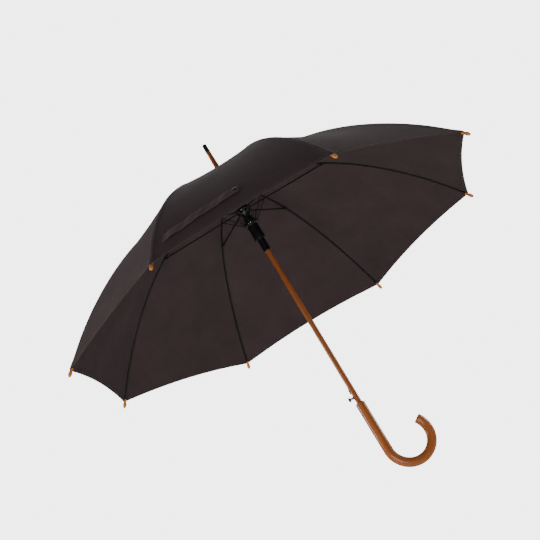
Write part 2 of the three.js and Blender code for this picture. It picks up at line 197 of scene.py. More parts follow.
def build(name, parts, material, crease=CREASE):
    """One mesh object out of closed parts, each a dict of points, faces and grain."""
    points, faces, grain = [], [], []
    for part in parts:
        start = sum(len(p) for p in points)
        p = np.asarray(part["points"], float)
        for f in outward(p, part["faces"]):
            faces.append([i + start for i in f])
        points.append(p)
        grain.append(np.asarray(part.get("grain", p), float))
    mesh = bpy.data.meshes.new(name)
    mesh.from_pydata(np.concatenate(points).tolist(), [], faces)
    attribute = mesh.attributes.new("grain", "FLOAT_VECTOR", "POINT")
    attribute.data.foreach_set("vector", np.concatenate(grain).astype(np.float32).ravel())
    mesh.polygons.foreach_set("use_smooth", [True] * len(mesh.polygons))
    mesh.materials.append(material)
    mesh.update()
    mesh.set_sharp_from_angle(angle=math.radians(crease))
    obj = bpy.data.objects.new(name, mesh)
    bpy.context.collection.objects.link(obj)
    return obj


def tube_faces(rows, n):
    """Faces of a capped tube, made of rows of n points."""
    faces = []
    for i in range(rows - 1):
        for k in range(n):
            a, b = i * n + k, i * n + (k + 1) % n
            faces.append([a, b, b + n, a + n])
    faces.append(list(range(n))[::-1])
    faces.append([(rows - 1) * n + k for k in range(n)])
    return faces


def hoop_faces(rows, n):
    """Faces of a tube whose last row joins its first."""
    faces = []
    for i in range(rows):
        here, there = i * n, (i + 1) % rows * n
        for k in range(n):
            m = (k + 1) % n
            faces.append([here + k, here + m, there + m, there + k])
    return faces


def sheet_faces(n, m):
    """Faces of a closed sheet: an outer and then an inner layer, each n rows of m points."""
    outer = np.arange(n * m).reshape(n, m)
    inner = outer + n * m
    faces = []
    for i in range(n - 1):
        for j in range(m - 1):
            faces.append([outer[i, j], outer[i + 1, j], outer[i + 1, j + 1], outer[i, j + 1]])
            faces.append([inner[i, j], inner[i, j + 1], inner[i + 1, j + 1], inner[i + 1, j]])
    for j in range(m - 1):
        faces.append([outer[0, j], outer[0, j + 1], inner[0, j + 1], inner[0, j]])
        faces.append([outer[-1, j + 1], outer[-1, j], inner[-1, j], inner[-1, j + 1]])
    for i in range(n - 1):
        faces.append([outer[i + 1, 0], outer[i, 0], inner[i, 0], inner[i + 1, 0]])
        faces.append([outer[i, -1], outer[i + 1, -1], inner[i + 1, -1], inner[i, -1]])
    return [[int(v) for v in face] for face in faces]


def sweep(path, side, section, grain_from=0.0):
    """A rod along a path. section(i) gives the offsets (sideways, outward) at point i."""
    path, side = np.asarray(path, float), np.asarray(side, float)
    tangent = np.gradient(path, axis=0)
    tangent /= np.linalg.norm(tangent, axis=1)[:, None]
    normal = np.cross(side, tangent)
    normal /= np.linalg.norm(normal, axis=1)[:, None]
    run = np.concatenate([[0], np.cumsum(np.linalg.norm(np.diff(path, axis=0), axis=1))])
    points, grain = [], []
    for i in range(len(path)):
        loop = np.asarray(section(i), float)
        points.append(path[i] + loop[:, :1] * side + loop[:, 1:] * normal[i])
        grain.append(np.column_stack([loop, np.full(len(loop), grain_from - run[i])]))
    faces = tube_faces(len(path), len(points[0]))
    return {"points": np.concatenate(points), "faces": faces, "grain": np.concatenate(grain)}


def ring(radius, n, flat=1.0):
    """A round outline of n points, flattened upwards where flat is under 1."""
    a = 2 * math.pi * (np.arange(n) + 0.5) / n
    return np.column_stack([radius * np.cos(a), radius * flat * np.sin(a)])


def softened(outline, radius, steps=3):
    """A closed outline with each corner rounded."""
    pts = np.asarray(outline, float)
    out = []
    for i, p in enumerate(pts):
        a, b = pts[i - 1] - p, pts[(i + 1) % len(pts)] - p
        la, lb = np.linalg.norm(a), np.linalg.norm(b)
        cut = min(radius, la * 0.42, lb * 0.42)
        if abs(p[0]) < 1e-9:
            out.append(p)
            continue
        start, end = p + a / la * cut, p + b / lb * cut
        for j in range(steps + 1):
            f = j / steps
            out.append((1 - f) ** 2 * start + 2 * f * (1 - f) * p + f**2 * end)
    return out


def turned(outline, segments=64, soften=0.0004):
    """A solid turned about the shaft's axis from a closed outline of (radius, height)."""
    pts = np.array(softened(outline, soften) if soften else outline, float)
    pts[:, 0] = np.maximum(pts[:, 0], 0)
    points, index = [], []
    for r, z in pts:
        if r < 1e-7:
            index.append([len(points)] * segments)
            points.append((0, 0, z))
        else:
            index.append(list(range(len(points), len(points) + segments)))
            for k in range(segments):
                a = 2 * math.pi * (k + 0.5) / segments
                points.append((r * math.cos(a), r * math.sin(a), z))
    faces = []
    for i in range(len(pts)):
        p, q = index[i], index[(i + 1) % len(pts)]
        for k in range(segments):
            m = (k + 1) % segments
            f = list(dict.fromkeys([p[k], p[m], q[m], q[k]]))
            if len(f) > 2:
                faces.append(f)
    return {"points": np.array(points), "faces": faces}


def block(size, centre, turn=0.0):
    """A plain box as a part, turned about Z, for cutting with."""
    s = np.array(size) / 2
    signs = np.array([[x, y, z] for x in (-1, 1) for y in (-1, 1) for z in (-1, 1)])
    corners = signs * s + np.array(centre)
    x, y, z = corners.T
    c, n = math.cos(turn), math.sin(turn)
    faces = [[0, 1, 3, 2], [4, 6, 7, 5], [0, 4, 5, 1], [2, 3, 7, 6], [0, 2, 6, 4], [1, 5, 7, 3]]
    return {"points": np.column_stack([x * c - y * n, x * n + y * c, z]), "faces": faces}


def carve(obj, parts):
    """Cuts closed parts out of a mesh, and leaves a plain mesh behind."""
    cutters = []
    for part in parts:
        tool = build(f"{obj.name}_cutter", [part], obj.data.materials[0])
        modifier = obj.modifiers.new("cut", "BOOLEAN")
        modifier.operation, modifier.solver, modifier.object = "DIFFERENCE", "EXACT", tool
        cutters.append(tool)
    settle(obj)
    for tool in cutters:
        mesh = tool.data
        bpy.data.objects.remove(tool)
        bpy.data.meshes.remove(mesh)
    obj.data.set_sharp_from_angle(angle=math.radians(CREASE))
    return obj


def settle(obj):
    """Turns what the modifiers make into the object's own mesh."""
    bpy.context.view_layer.update()
    graph = bpy.context.evaluated_depsgraph_get()
    seen = obj.evaluated_get(graph)
    mesh = bpy.data.meshes.new_from_object(seen, preserve_all_data_layers=True, depsgraph=graph)
    old = obj.data
    obj.modifiers.clear()
    obj.data = mesh
    bpy.data.meshes.remove(old)
    mesh.name = obj.name
    return obj


def soft_edges(obj, width):
    """Small rounded edges, made part of the mesh."""
    modifier = obj.modifiers.new("edges", "BEVEL")
    modifier.width, modifier.segments, modifier.limit_method = width, 2, "ANGLE"
    modifier.angle_limit = math.radians(40)
    settle(obj)
    obj.data.set_sharp_from_angle(angle=math.radians(CREASE))
    return obj


def place(obj, body, slot, *nodes):
    """Puts a finished piece on its body."""
    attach(obj, body)
    if nodes:
        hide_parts(*nodes)
    return obj


# ------------------------------------------------------------------ materials
class Finish:
    """A material under construction: a shader and short calls for its nodes."""

    def __init__(self, name, **sockets):
        self.material = bpy.data.materials.new(name)
        self.material.use_nodes = True
        self.tree = self.material.node_tree
        self.shader = next(n for n in self.tree.nodes if n.type == "BSDF_PRINCIPLED")
        for label, value in sockets.items():
            self.shader.inputs[label.replace("_", " ")].default_value = value

    def node(self, kind, links=(), **values):
        n = self.tree.nodes.new(kind)
        for label, value in values.items():
            setattr(n, label, value)
        for target, source in dict(links).items():
            if hasattr(source, "is_output"):
                self.tree.links.new(source, n.inputs[target])
            else:
                n.inputs[target].default_value = source
        return n

    def place(self, attribute=None, scale=(1, 1, 1)):
        """Coordinates: the piece's own attribute, or where it is in the object."""
        if attribute:
            source = self.node("ShaderNodeAttribute", attribute_name=attribute).outputs["Vector"]
        else:
            source = self.node("ShaderNodeTexCoord").outputs["Object"]
        return self.node("ShaderNodeMapping", {"Vector": source, "Scale": scale}).outputs["Vector"]

    def noise(self, vector, scale, detail=3.0, roughness=0.5):
        links = {"Vector": vector, "Scale": scale, "Detail": detail, "Roughness": roughness}
        return self.node("ShaderNodeTexNoise", links).outputs["Fac"]

    def ramp(self, fac, *stops):
        n = self.node("ShaderNodeValToRGB", {"Fac": fac})
        while len(n.color_ramp.elements) < len(stops):
            n.color_ramp.elements.new(0.5)
        for element, (at, colour) in zip(n.color_ramp.elements, stops):
            element.position = at
            element.color = (*colour, 1) if hasattr(colour, "__len__") else (colour, colour, colour, 1)
        return n.outputs["Color"]

    def spread(self, fac, low, high):
        """A value between low and high."""
        links = {"Value": fac, "From Min": 0.25, "From Max": 0.75, "To Min": low, "To Max": high}
        return self.node("ShaderNodeMapRange", links).outputs["Result"]

    def blend(self, fac, a, b, how="MIX"):
        n = self.node("ShaderNodeMix", data_type="RGBA", blend_type=how)
        for index, value in ((0, fac), (6, a), (7, b)):
            if hasattr(value, "is_output"):
                self.tree.links.new(value, n.inputs[index])
            else:
                n.inputs[index].default_value = (*value, 1) if hasattr(value, "__len__") else value
        return n.outputs[2]

    def bump(self, height, strength, distance, over=None):
        links = {"Height": height, "Strength": strength, "Distance": distance}
        if over is not None:
            links["Normal"] = over
        return self.node("ShaderNodeBump", links).outputs["Normal"]

    def join(self, **sockets):
        for label, source in sockets.items():
            self.tree.links.new(source, self.shader.inputs[label.replace("_", " ")])
        return self.material


def once(make):
    """Makes each finish a single time, and hands back the same one after that."""

    @functools.wraps(make)
    def made(name, *settings):
        return bpy.data.materials.get(name) or make(name, *settings)

    return made


def tone(colour, factor):
    """A colour made darker or lighter."""
    return tuple(min(1.0, c * factor) for c in colour)


@once
def varnished_wood(name, colour, coat, figure=1.0):
    """Straight-grained wood under clear varnish; the grain follows the piece."""
    f = Finish(name, Roughness=0.36, Specular_IOR_Level=0.1, Coat_Weight=coat, Coat_Roughness=0.07)
    wide = f.noise(f.place("grain", (150, 150, 5.5)), 1.0, 4.0, 0.6)
    fine = f.noise(f.place("grain", (900, 900, 26)), 1.0, 3.0, 0.6)
    pores = f.noise(f.place("grain", (2600, 2600, 130)), 1.0, 2.0, 0.5)
    base = f.ramp(wide, (0.30, tone(colour, 0.62)), (0.50, colour), (0.72, tone(colour, 1.28)))
    streak = f.ramp(fine, (0.36, 0.72), (0.60, 1.0))
    base = f.blend(0.55 * figure, base, streak, "MULTIPLY")
    dots = f.ramp(pores, (0.30, 0.55), (0.42, 1.0))
    base = f.blend(0.25 * figure, base, dots, "MULTIPLY")
    normal = f.bump(fine, 0.10, 0.0002)
    return f.join(Base_Color=base, Normal=normal, Roughness=f.spread(wide, 0.30, 0.42))


@once
def dark_metal(name, colour, roughness, metallic):
    """Blackened steel, a little worn where it rubs."""
    f = Finish(name, Metallic=metallic, Specular_IOR_Level=0.3)
    cloudy = f.noise(f.place(), 160.0, 4.0)
    drawn = f.noise(f.place("grain", (2200, 2200, 40)), 1.0, 3.0)
    base = f.ramp(cloudy, (0.35, tone(colour, 0.75)), (0.62, colour), (0.80, tone(colour, 1.7)))
    normal = f.bump(drawn, 0.16, 0.0001)
    rough = f.spread(drawn, roughness - 0.08, roughness + 0.10)
    return f.join(Base_Color=base, Normal=normal, Roughness=rough)


@once
def bright_metal(name, colour, roughness=0.22):
    """Plated metal with fine drawn scratches."""
    f = Finish(name, Metallic=1.0)
    scratch = f.noise(f.place("grain", (1800, 1800, 1800)), 1.0, 4.0, 0.7)
    cloudy = f.noise(f.place(), 300.0, 3.0)
    base = f.ramp(cloudy, (0.30, tone(colour, 0.80)), (0.65, colour))
    normal = f.bump(scratch, 0.12, 0.0001)
    rough = f.spread(scratch, roughness - 0.06, roughness + 0.12)
    return f.join(Base_Color=base, Normal=normal, Roughness=rough)


@once
def moulded_plastic(name, colour):
    """Black moulded nylon: faint grain, softly shining edges."""
    f = Finish(name, Specular_IOR_Level=0.45)
    grain = f.noise(f.place(), 2400.0, 3.0, 0.6)
    cloudy = f.noise(f.place(), 120.0, 3.0)
    base = f.ramp(cloudy, (0.35, tone(colour, 0.85)), (0.70, tone(colour, 1.25)))
    return f.join(Base_Color=base, Normal=f.bump(grain, 0.12, 0.0001), Roughness=f.spread(cloudy, 0.30, 0.42))


@once
def woven_cloth(name, colour):
    """Close plain-weave canopy cloth; warp and weft follow the cut."""
    f = Finish(name, Specular_IOR_Level=0.04, Sheen_Weight=0.03, Sheen_Roughness=0.45)
    f.shader.inputs["Sheen Tint"].default_value = (0.90, 0.80, 0.78, 1)
    run = f.node("ShaderNodeUVMap", uv_map="cut").outputs["UV"]
    threads = []
    for direction, pitch in (("X", 0.00042), ("Y", 0.00048)):
        links = {"Vector": run, "Scale": 0.3142 / pitch, "Distortion": 0.6, "Detail": 1.0}
        bands = f.node("ShaderNodeTexWave", links, wave_type="BANDS", bands_direction=direction)
        threads.append(bands.outputs["Fac"])
    weave = f.node("ShaderNodeMath", {0: threads[0], 1: threads[1]}, operation="MULTIPLY").outputs[0]
    drawn = lambda scale: f.node("ShaderNodeMapping", {"Vector": run, "Scale": scale}).outputs["Vector"]
    slub = f.noise(drawn((900, 45, 1)), 1.0, 3.0)
    cross = f.noise(drawn((45, 900, 1)), 1.0, 3.0)
    cloudy = f.noise(f.place(), 14.0, 4.0, 0.55)
    base = f.ramp(cloudy, (0.30, tone(colour, 0.86)), (0.55, colour), (0.78, tone(colour, 1.16)))
    base = f.blend(0.30, base, f.ramp(weave, (0.0, 0.55), (0.8, 1.0)), "MULTIPLY")
    base = f.blend(0.22, base, f.ramp(slub, (0.35, 0.70), (0.65, 1.0)), "MULTIPLY")
    base = f.blend(0.22, base, f.ramp(cross, (0.35, 0.70), (0.65, 1.0)), "MULTIPLY")
    normal = f.bump(weave, 0.22, 0.0002)
    normal = f.bump(slub, 0.10, 0.0003, normal)
    return f.join(Base_Color=base, Normal=normal, Roughness=f.spread(cloudy, 0.62, 0.76))


@once
def sewing_thread(name, colour):
    """Twisted polyester thread."""
    f = Finish(name, Sheen_Weight=0.3, Sheen_Roughness=0.4)
    twist = f.noise(f.place(), 2600.0, 2.0)
    base = f.ramp(twist, (0.35, tone(colour, 0.7)), (0.65, tone(colour, 1.2)))
    return f.join(Base_Color=base, Normal=f.bump(twist, 0.3, 0.0001), Roughness=f.spread(twist, 0.45, 0.6))


def finishes():
    """The finish of each kind of piece."""
    c = colours()
    return {
        "shaft_wood": varnished_wood("varnished shaft wood", c.shaft_wood, 0.25),
        "handle_wood": varnished_wood("varnished handle wood", c.handle_wood, 0.40),
        "tip_wood": varnished_wood("turned tip wood", c.tip_wood, 0.5, 0.6),
        "black_metal": dark_metal("blackened cap", c.black_metal, 0.34, 0.7),
        "rib_steel": dark_metal("rib steel", c.rib_steel, 0.42, 0.5),
        "stretcher_steel": dark_metal("stretcher steel", c.stretcher_steel, 0.45, 0.3),
        "strut_wire": dark_metal("strut wire", c.stretcher_steel, 0.40, 0.5),
        "spring_steel": dark_metal("spring steel", c.spring_steel, 0.34, 0.85),
        "catch_steel": dark_metal("catch steel", c.catch_steel, 0.40, 0.75),
        "black_plastic": moulded_plastic("moulded plastic", c.plastic),
        "bright_wire": bright_metal("bright wire", c.bright_wire),
        "button_brass": bright_metal("button brass", c.button, 0.32),
        "canopy_cloth": woven_cloth("woven canopy cloth", c.cloth),
        # painted highlight: the strap is the canopy cloth painted 1.6 times lighter, standing in for the
        # light its raised puckers catch
        "strap_cloth": woven_cloth("woven strap cloth", tone(c.cloth, 1.6)),
        "thread": sewing_thread("sewing thread", tone(c.cloth, 1.3)),
    }


# ------------------------------------------------------------------ settings
def length_setting(name, text, default, precision=4):
    return FloatProperty(name=name, description=text, default=default, unit="LENGTH", precision=precision)


class UmbrellaSizes(bpy.types.PropertyGroup):
    first_rib: FloatProperty(
        name="First rib", description="Angle from +X to rib 1",
        default=math.radians(8.5), subtype="ANGLE", unit="ROTATION",
    )
    rib_thickness: length_setting("Rib thickness", "Width of a rib across its channel", 0.0040)
    shaft_radius: length_setting("Shaft radius", "Radius of the wooden shaft", 0.006)
    handle_radius: length_setting("Handle radius", "Radius of the crook handle", 0.0103)
    crook_radius: length_setting("Crook radius", "Radius of the crook's bend", 0.049)
    cloth: length_setting("Cloth", "Thickness of the canopy cloth", 0.0006, 5)
    cloth_gap: length_setting("Cloth gap", "From the middle of a rib to the cloth's inner face", 0.0024, 5)
    hem_scallop: length_setting("Hem scallop", "How far the hem bows in between two ribs", 0.007)
    sag: length_setting("Sag", "How far the cloth dips between two ribs", 0.0095)
    wrinkle: length_setting("Wrinkles", "Height of the creases that fan from a hem corner", 0.0016, 5)
    gather: FloatProperty(
        name="Gather", description="Share of its width that the cloth keeps when the umbrella is shut",
        default=0.16, min=0.02, max=1.0,
    )
    stitch: length_setting("Stitch", "Length of one stitch", 0.0023, 5)
    stitch_pitch: length_setting("Stitch pitch", "From one stitch to the next", 0.0034, 5)
    spring_turns: IntProperty(
        name="Spring turns", description="Coils in the runner's spring", default=16, min=3,
    )


def colour_setting(name, text, default):
    return FloatVectorProperty(
        name=name, description=text, default=default, subtype="COLOR", min=0.0, max=1.0,
    )


class UmbrellaColours(bpy.types.PropertyGroup):
    cloth: colour_setting("Cloth", "Canopy and strap", (0.0630, 0.0430, 0.0445))
    shaft_wood: colour_setting("Shaft wood", "Shaft and ferrule", (0.290, 0.082, 0.0225))
    handle_wood: colour_setting("Handle wood", "Crook handle", (0.330, 0.096, 0.0230))
    tip_wood: colour_setting("Tip wood", "Turned tips on the ribs", (0.560, 0.190, 0.0300))
    black_metal: colour_setting("Black metal", "Ferrule cap, cup ring and press stud", (0.030, 0.030, 0.030))
    rib_steel: colour_setting("Rib steel", "Ribs", (0.014, 0.013, 0.012))
    stretcher_steel: colour_setting("Stretcher steel", "Stretchers and struts", (0.0040, 0.0040, 0.0040))
    spring_steel: colour_setting("Spring steel", "Runner spring", (0.012, 0.012, 0.012))
    catch_steel: colour_setting("Catch steel", "Hand catch", (0.10, 0.060, 0.040))
    plastic: colour_setting("Plastic", "Runner, spring cup and crown", (0.0035, 0.0035, 0.0035))
    bright_wire: colour_setting("Bright wire", "Binding wires", (0.85, 0.85, 0.83))
    button: colour_setting("Button", "Push button", (0.080, 0.070, 0.040))


# ------------------------------------------------------------------ shaft and handle
class UMBRELLA_OT_shaft(bpy.types.Operator):
    """Turned wooden shaft and ferrule, with the ferrule's black cap"""

    bl_idname = "umbrella.shaft"
    bl_label = "Shaft and Ferrule"

    def execute(self, context):
        f, r = finishes(), sizes().shaft_radius
        rows = [(0, SHAFT_TOP), (r - 0.0006, SHAFT_TOP), (r, SHAFT_TOP - 0.0006)]
        rows += [(r, z) for z in np.arange(-0.13, -0.70, -0.02)] + [(r, SHAFT_FOOT), (0, SHAFT_FOOT)]
        shaft = build("shaft_stick", [turned(rows, 64, 0)], f["shaft_wood"])
        middle = (CATCH_TOP + CATCH_SHOULDER) / 2
        carve(shaft, [
            block((0.0095, 0.0032, 0.0174), (-0.00305, 0, middle)),
            block((0.0095, 0.0036, 0.0056), (-0.00305, 0, BUTTON_HEIGHT)),
        ])
        place(shaft, STAND, "shaft_wood", "shaft")

        foot = -CAP_LENGTH - 0.0003
        ferrule = build("ferrule_turning", [turned([
            (0, foot), (0.0046, foot), (0.0049, foot - 0.0006), (0.00525, -0.040), (0.0056, -0.062),
            (0.0059, -0.080), (0.0061, -0.096), (0.0062, FERRULE_BASE + 0.001), (0.0058, FERRULE_BASE),
            (0, FERRULE_BASE),
        ], 64, 0.0003)], f["shaft_wood"])
        place(ferrule, STAND, "shaft_wood", "ferrule")

        cap = build("ferrule_end_cap", [turned([
            (0, 0), (0.0039, 0), (0.0046, -0.0008), (0.0048, -0.0025), (0.0051, -CAP_LENGTH + 0.0015),
            (0.0053, -CAP_LENGTH + 0.001), (0.0053, -CAP_LENGTH), (0, -CAP_LENGTH),
        ], 64, 0.0005)], f["black_metal"])
        place(cap, STAND, "black_metal", "ferrule_cap")
        return {"FINISHED"}


# how far below the handle's top, and how much under its full radius
HANDLE_RIM = ((0.00001, 0.0017), (0.0004, 0.0010), (0.0010, 0.0004), (0.0018, 0.0001), (0.0028, 0.0))
# how far past the crook's bend, and how much under its full radius
CROOK_END = (
    (0.0012, 0), (0.0020, 0.0003), (0.0026, 0.0008), (0.0030, 0.0016), (0.0032, 0.0028), (0.00322, 0.0060),
)


class UMBRELLA_OT_handle(bpy.types.Operator):
    """Bent wooden crook, with a chamfered top and a softly rounded end"""

    bl_idname = "umbrella.handle"
    bl_label = "Crook Handle"

    def execute(self, context):
        s = sizes()
        bend, r = s.crook_radius, s.handle_radius
        socket = s.shaft_radius + 0.0002
        # the first rings go down into the shaft's socket and back up over its chamfered rim
        top = [(-0.006, socket), (0.0, socket)]
        top += [(-fall, r - less) for fall, less in HANDLE_RIM]
        straight = np.linspace(HANDLE_TOP - 0.006, CROOK_CENTRE, 12)
        rings = [((0, 0, HANDLE_TOP + z), radius, 0.0) for z, radius in top]
        rings += [((0, 0, z), r, 0.0) for z in straight]
        end = math.pi + CROOK_PAST
        for a in np.linspace(0, end, 72)[1:]:
            rings.append(((bend - bend * math.cos(a), 0, CROOK_CENTRE - bend * math.sin(a)), r, a))
        along = np.array([math.sin(end), 0, -math.cos(end)])
        last = np.array(rings[-1][0])
        rings += [(last + along * d, r - less, end) for d, less in CROOK_END]
        n, run = 48, 0.0
        points, grain = [], []
        before = np.array(rings[0][0])
        for centre, radius, a in rings:
            centre = np.array(centre)
            run += float(np.linalg.norm(centre - before))
            before = centre
            out = np.array([-math.cos(a), 0, -math.sin(a)])
            loop = ring(radius, n)
            points.append(centre + loop[:, :1] * np.array([0, 1, 0]) + loop[:, 1:] * out)
            grain.append(np.column_stack([loop, np.full(n, -run)]))
        part = {"points": np.concatenate(points), "faces": tube_faces(len(rings), n)}
        part["grain"] = np.concatenate(grain)
        handle = build("crook_handle", [part], finishes()["handle_wood"], 40)
        place(handle, STAND, "handle_wood", "handle")
        return {"FINISHED"}


class UMBRELLA_OT_catch(bpy.types.Operator):
    """Sprung catch that holds the runner down, and the push button that lets it go"""

    bl_idname = "umbrella.catch"
    bl_label = "Catch and Button"

    def execute(self, context):
        f = finishes()
        profile = [
            (-0.0032, CATCH_TOP), (-0.0062, CATCH_TOP - 0.0006), (-0.0074, CATCH_TOP - 0.0070),
            (-0.0081, CATCH_SHOULDER + 0.0025), (-0.0081, CATCH_SHOULDER), (-0.0032, CATCH_SHOULDER),
        ]
        n, half = len(profile), 0.0012
        points = np.array([(x, y, z) for y in (-half, half) for x, z in profile])
        catch = build("catch_wedge", [{"points": points, "faces": tube_faces(2, n)}], f["catch_steel"])
        soft_edges(catch, 0.0003)
        place(catch, "hand_catch", "catch_steel", "hand_catch")

        # rounded head, standing proud of the shaft on a stem with an eye through it
        n, rows = 28, []
        rim, deep, wide, high = 0.0152, 0.0030, 0.0036, 0.0054
        for out in (0.0143, 0.0143, 0.0146, 0.0152, 0.0158, 0.0164, 0.0169, 0.0174, 0.0178, 0.01805, 0.01818):
            k = math.sqrt(max(0.0, 1 - ((rim - out) / deep) ** 2))
            loop = ring(1.0, n)
            loop = np.column_stack([loop[:, 0] * wide, loop[:, 1] * high]) * k
            if not rows:
                loop = loop * 0.7
            rows.append(np.column_stack([np.full(n, -out), loop[:, 0], BUTTON_HEIGHT + loop[:, 1]]))
        head = {"points": np.concatenate(rows), "faces": tube_faces(len(rows), n)}
        stem_part = block((0.0132, 0.0028, 0.0048), (-0.0087, 0, BUTTON_HEIGHT))
        stem = build("button_stem", [stem_part], f["button_brass"])
        carve(stem, [block((0.0026, 0.006, 0.0012), (-0.0104, 0, BUTTON_HEIGHT))])
        soft_edges(stem, 0.00025)
        button = build("button_head", [head], f["button_brass"])
        bpy.context.view_layer.objects.active = button
        for o in (button, stem):
            o.select_set(True)
        with context.temp_override(active_object=button, selected_editable_objects=[button, stem]):
            bpy.ops.object.join()
        place(button, "push_button", "button_brass", "push_button")
        return {"FINISHED"}


# ------------------------------------------------------------------ crown, runner, cup
def notches(r0, r1, width, z0, z1):
    """Cutting boxes, one for each rib."""
    size = (r1 - r0, width, z1 - z0)
    centre = ((r0 + r1) / 2, 0, (z0 + z1) / 2)
    return [block(size, centre, azimuth(k)) for k in range(RIBS)]


def wire_ring(radius, height, thickness):
    """A closed loop of round wire about the shaft."""
    n, m = 72, 12
    points = []
    for i in range(n):
        a = 2 * math.pi * i / n
        for k in range(m):
            b = 2 * math.pi * k / m
            out = radius + thickness * math.cos(b)
            points.append((out * math.cos(a), out * math.sin(a), height + thickness * math.sin(b)))
    return {"points": np.array(points), "faces": hoop_faces(n, m)}


ROSETTE_TOP = -0.1076
ROSETTE_RADII = (0.0066, 0.0082, 0.0100, 0.0120, 0.0136, 0.0145)


class UMBRELLA_OT_crown(bpy.types.Operator):
    """Notched crown that the ribs hinge in, its wire, and the cloth rosette on top"""

    bl_idname = "umbrella.crown"
    bl_label = "Crown and Rosette"

    def execute(self, context):
        f = finishes()
        crown = build("crown_collar", [turned([
            (0.0063, -0.1114), (0.0140, -0.1114), (0.0140, -0.1166), (0.0131, -0.1166), (0.0131, -0.1182),
            (0.0140, -0.1182), (0.0140, -0.1195), (0.0115, -0.1210), (0.0086, -0.1260), (0.0063, -0.1260),
        ], 96, 0.0003)], f["black_plastic"])
        carve(crown, notches(0.0081, 0.016, 0.0044, -0.122, -0.110))
        place(crown, STAND, "black_plastic", "crown")
        wire = build("crown_binding", [wire_ring(0.0137, -0.1174, 0.00055)], f["bright_wire"])
        place(wire, STAND, "bright_wire", "crown_wire")

        # gathered cloth washer over the top of the canopy, its upper face and then its lower one
        n, loops = 96, []
        inner, full = ROSETTE_RADII[0], 0.0130
        a = 2 * math.pi * np.arange(n) / n
        pleats = 0.00028 * np.sin(a * 24 + 0.7 * np.sin(a * 3))
        for drop, radii in ((0.0, ROSETTE_RADII), (0.0006, ROSETTE_RADII[::-1])):
            for r in radii:
                top = ROSETTE_TOP - 0.0013 * ((r - inner) / 0.0079) ** 2
                height = top - drop + pleats * ease(r, inner, full)
                loops.append(np.column_stack([r * np.cos(a), r * np.sin(a), height]))
        pts = np.concatenate(loops)
        part = {"points": pts, "faces": hoop_faces(len(loops), n)}
        rosette = build("top_rosette", [part], f["canopy_cloth"])
        cut_map(rosette, pts[:, :2])
        place(rosette, STAND, "canopy_cloth", "canopy_rosette")
        return {"FINISHED"}


class UMBRELLA_OT_runner(bpy.types.Operator):
    """Sliding runner with a notched head and a long tube, its wire and its spring"""

    bl_idname = "umbrella.runner"
    bl_label = "Runner"

    def execute(self, context):
        f, top, foot = finishes(), RUNNER_TOP, RUNNER_FOOT
        runner = build("runner_moulding", [turned([
            (BORE, top), (0.0156, top), (0.0176, top - 0.0016), (0.0176, top - 0.0052),
            (0.0129, top - 0.0052), (0.0129, top - 0.0068), (0.0176, top - 0.0068), (0.0176, top - 0.0070),
            (0.0146, top - 0.0094), (0.0126, top - 0.0116), (0.0112, top - 0.0136), (0.0100, top - 0.0160),
            (0.0092, top - 0.0186), (0.0087, top - 0.0218), (0.0083, top - 0.0220), (0.0083, foot + 0.0060),
            (0.0083, foot + 0.0036), (0.0088, foot + 0.0032), (0.0088, foot + 0.0006), (0.0082, foot),
            (BORE, foot),
        ], 96, 0.0003)], f["black_plastic"])
        # the catch comes through the window when the runner is down
        window = block((0.006, 0.0036, 0.0172), (-0.009, 0, CATCH_SHOULDER + RUNNER_TRAVEL + 0.0082))
        rib_slots = notches(0.0096, 0.019, 0.0046, -0.1846, -0.176)
        fork_slots = notches(0.0124, 0.019, 0.0078, -0.190, -0.176)
        carve(runner, rib_slots + fork_slots + [window])
        place(runner, "runner", "black_plastic", "runner")
        wire = build("runner_binding", [wire_ring(0.01355, -0.1830, 0.0004)], f["bright_wire"])
        place(wire, "runner", "bright_wire", "runner_wire")

        # round-wire coil
        per_turn, m, thick, wide = 28, 10, 0.00075, 0.00985
        high, low = SPRING_TOP - thick, SPRING_FOOT + thick
        steps = sizes().spring_turns * per_turn
        points = []
        for i in range(steps + 1):
            a = 2 * math.pi * i / per_turn
            z = high + (low - high) * i / steps
            for k in range(m):
                b = 2 * math.pi * k / m
                out = wide + thick * math.cos(b)
                points.append((out * math.cos(a), out * math.sin(a), z + thick * math.sin(b)))
        part = {"points": np.array(points), "faces": tube_faces(steps + 1, m)}
        coil = build("spring_coil", [part], f["spring_steel"])
        place(coil, "runner", "spring_steel", "runner_spring")
        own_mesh(coil)
        return {"FINISHED"}


class UMBRELLA_OT_cup(bpy.types.Operator):
    """Spring cup that slides on the runner's tube, with its ring and wire"""

    bl_idname = "umbrella.cup"
    bl_label = "Spring Cup"

    def execute(self, context):
        f = finishes()
        cup = build("cup_moulding", [turned([
            (0.01155, -0.2126), (0.0158, -0.2126), (0.0164, -0.2132), (0.0164, -0.2146), (0.0134, -0.2152),
            (0.0134, -0.2199), (0.0164, -0.2205), (0.0164, -0.2219), (0.0158, -0.2225), (0.0126, -0.2232),
            (0.0124, -0.2240), (0.0124, -0.2400), (0.0124, -0.2576), (0.00865, -0.2576), (0.00865, -0.2552),
            (0.01155, -0.2552),
        ], 96, 0.0003)], f["black_plastic"])
        carve(cup, notches(0.0132, 0.018, 0.0074, -0.216, -0.211))
        place(cup, "spring_cup", "black_plastic", "spring_cup")
        collar = build("cup_collar", [turned([
            (0.00875, -0.2579), (0.0125, -0.2579), (0.0129, -0.2586), (0.0129, -0.2604), (0.0125, -0.2611),
            (0.00875, -0.2611),
        ], 96, 0.0004)], f["black_metal"])
        place(collar, "spring_cup", "black_metal", "cup_ring")
        wire = build("cup_binding", [wire_ring(0.01400, -0.2192, 0.00045)], f["bright_wire"])
        place(wire, "spring_cup", "bright_wire", "cup_wire")
        return {"FINISHED"}


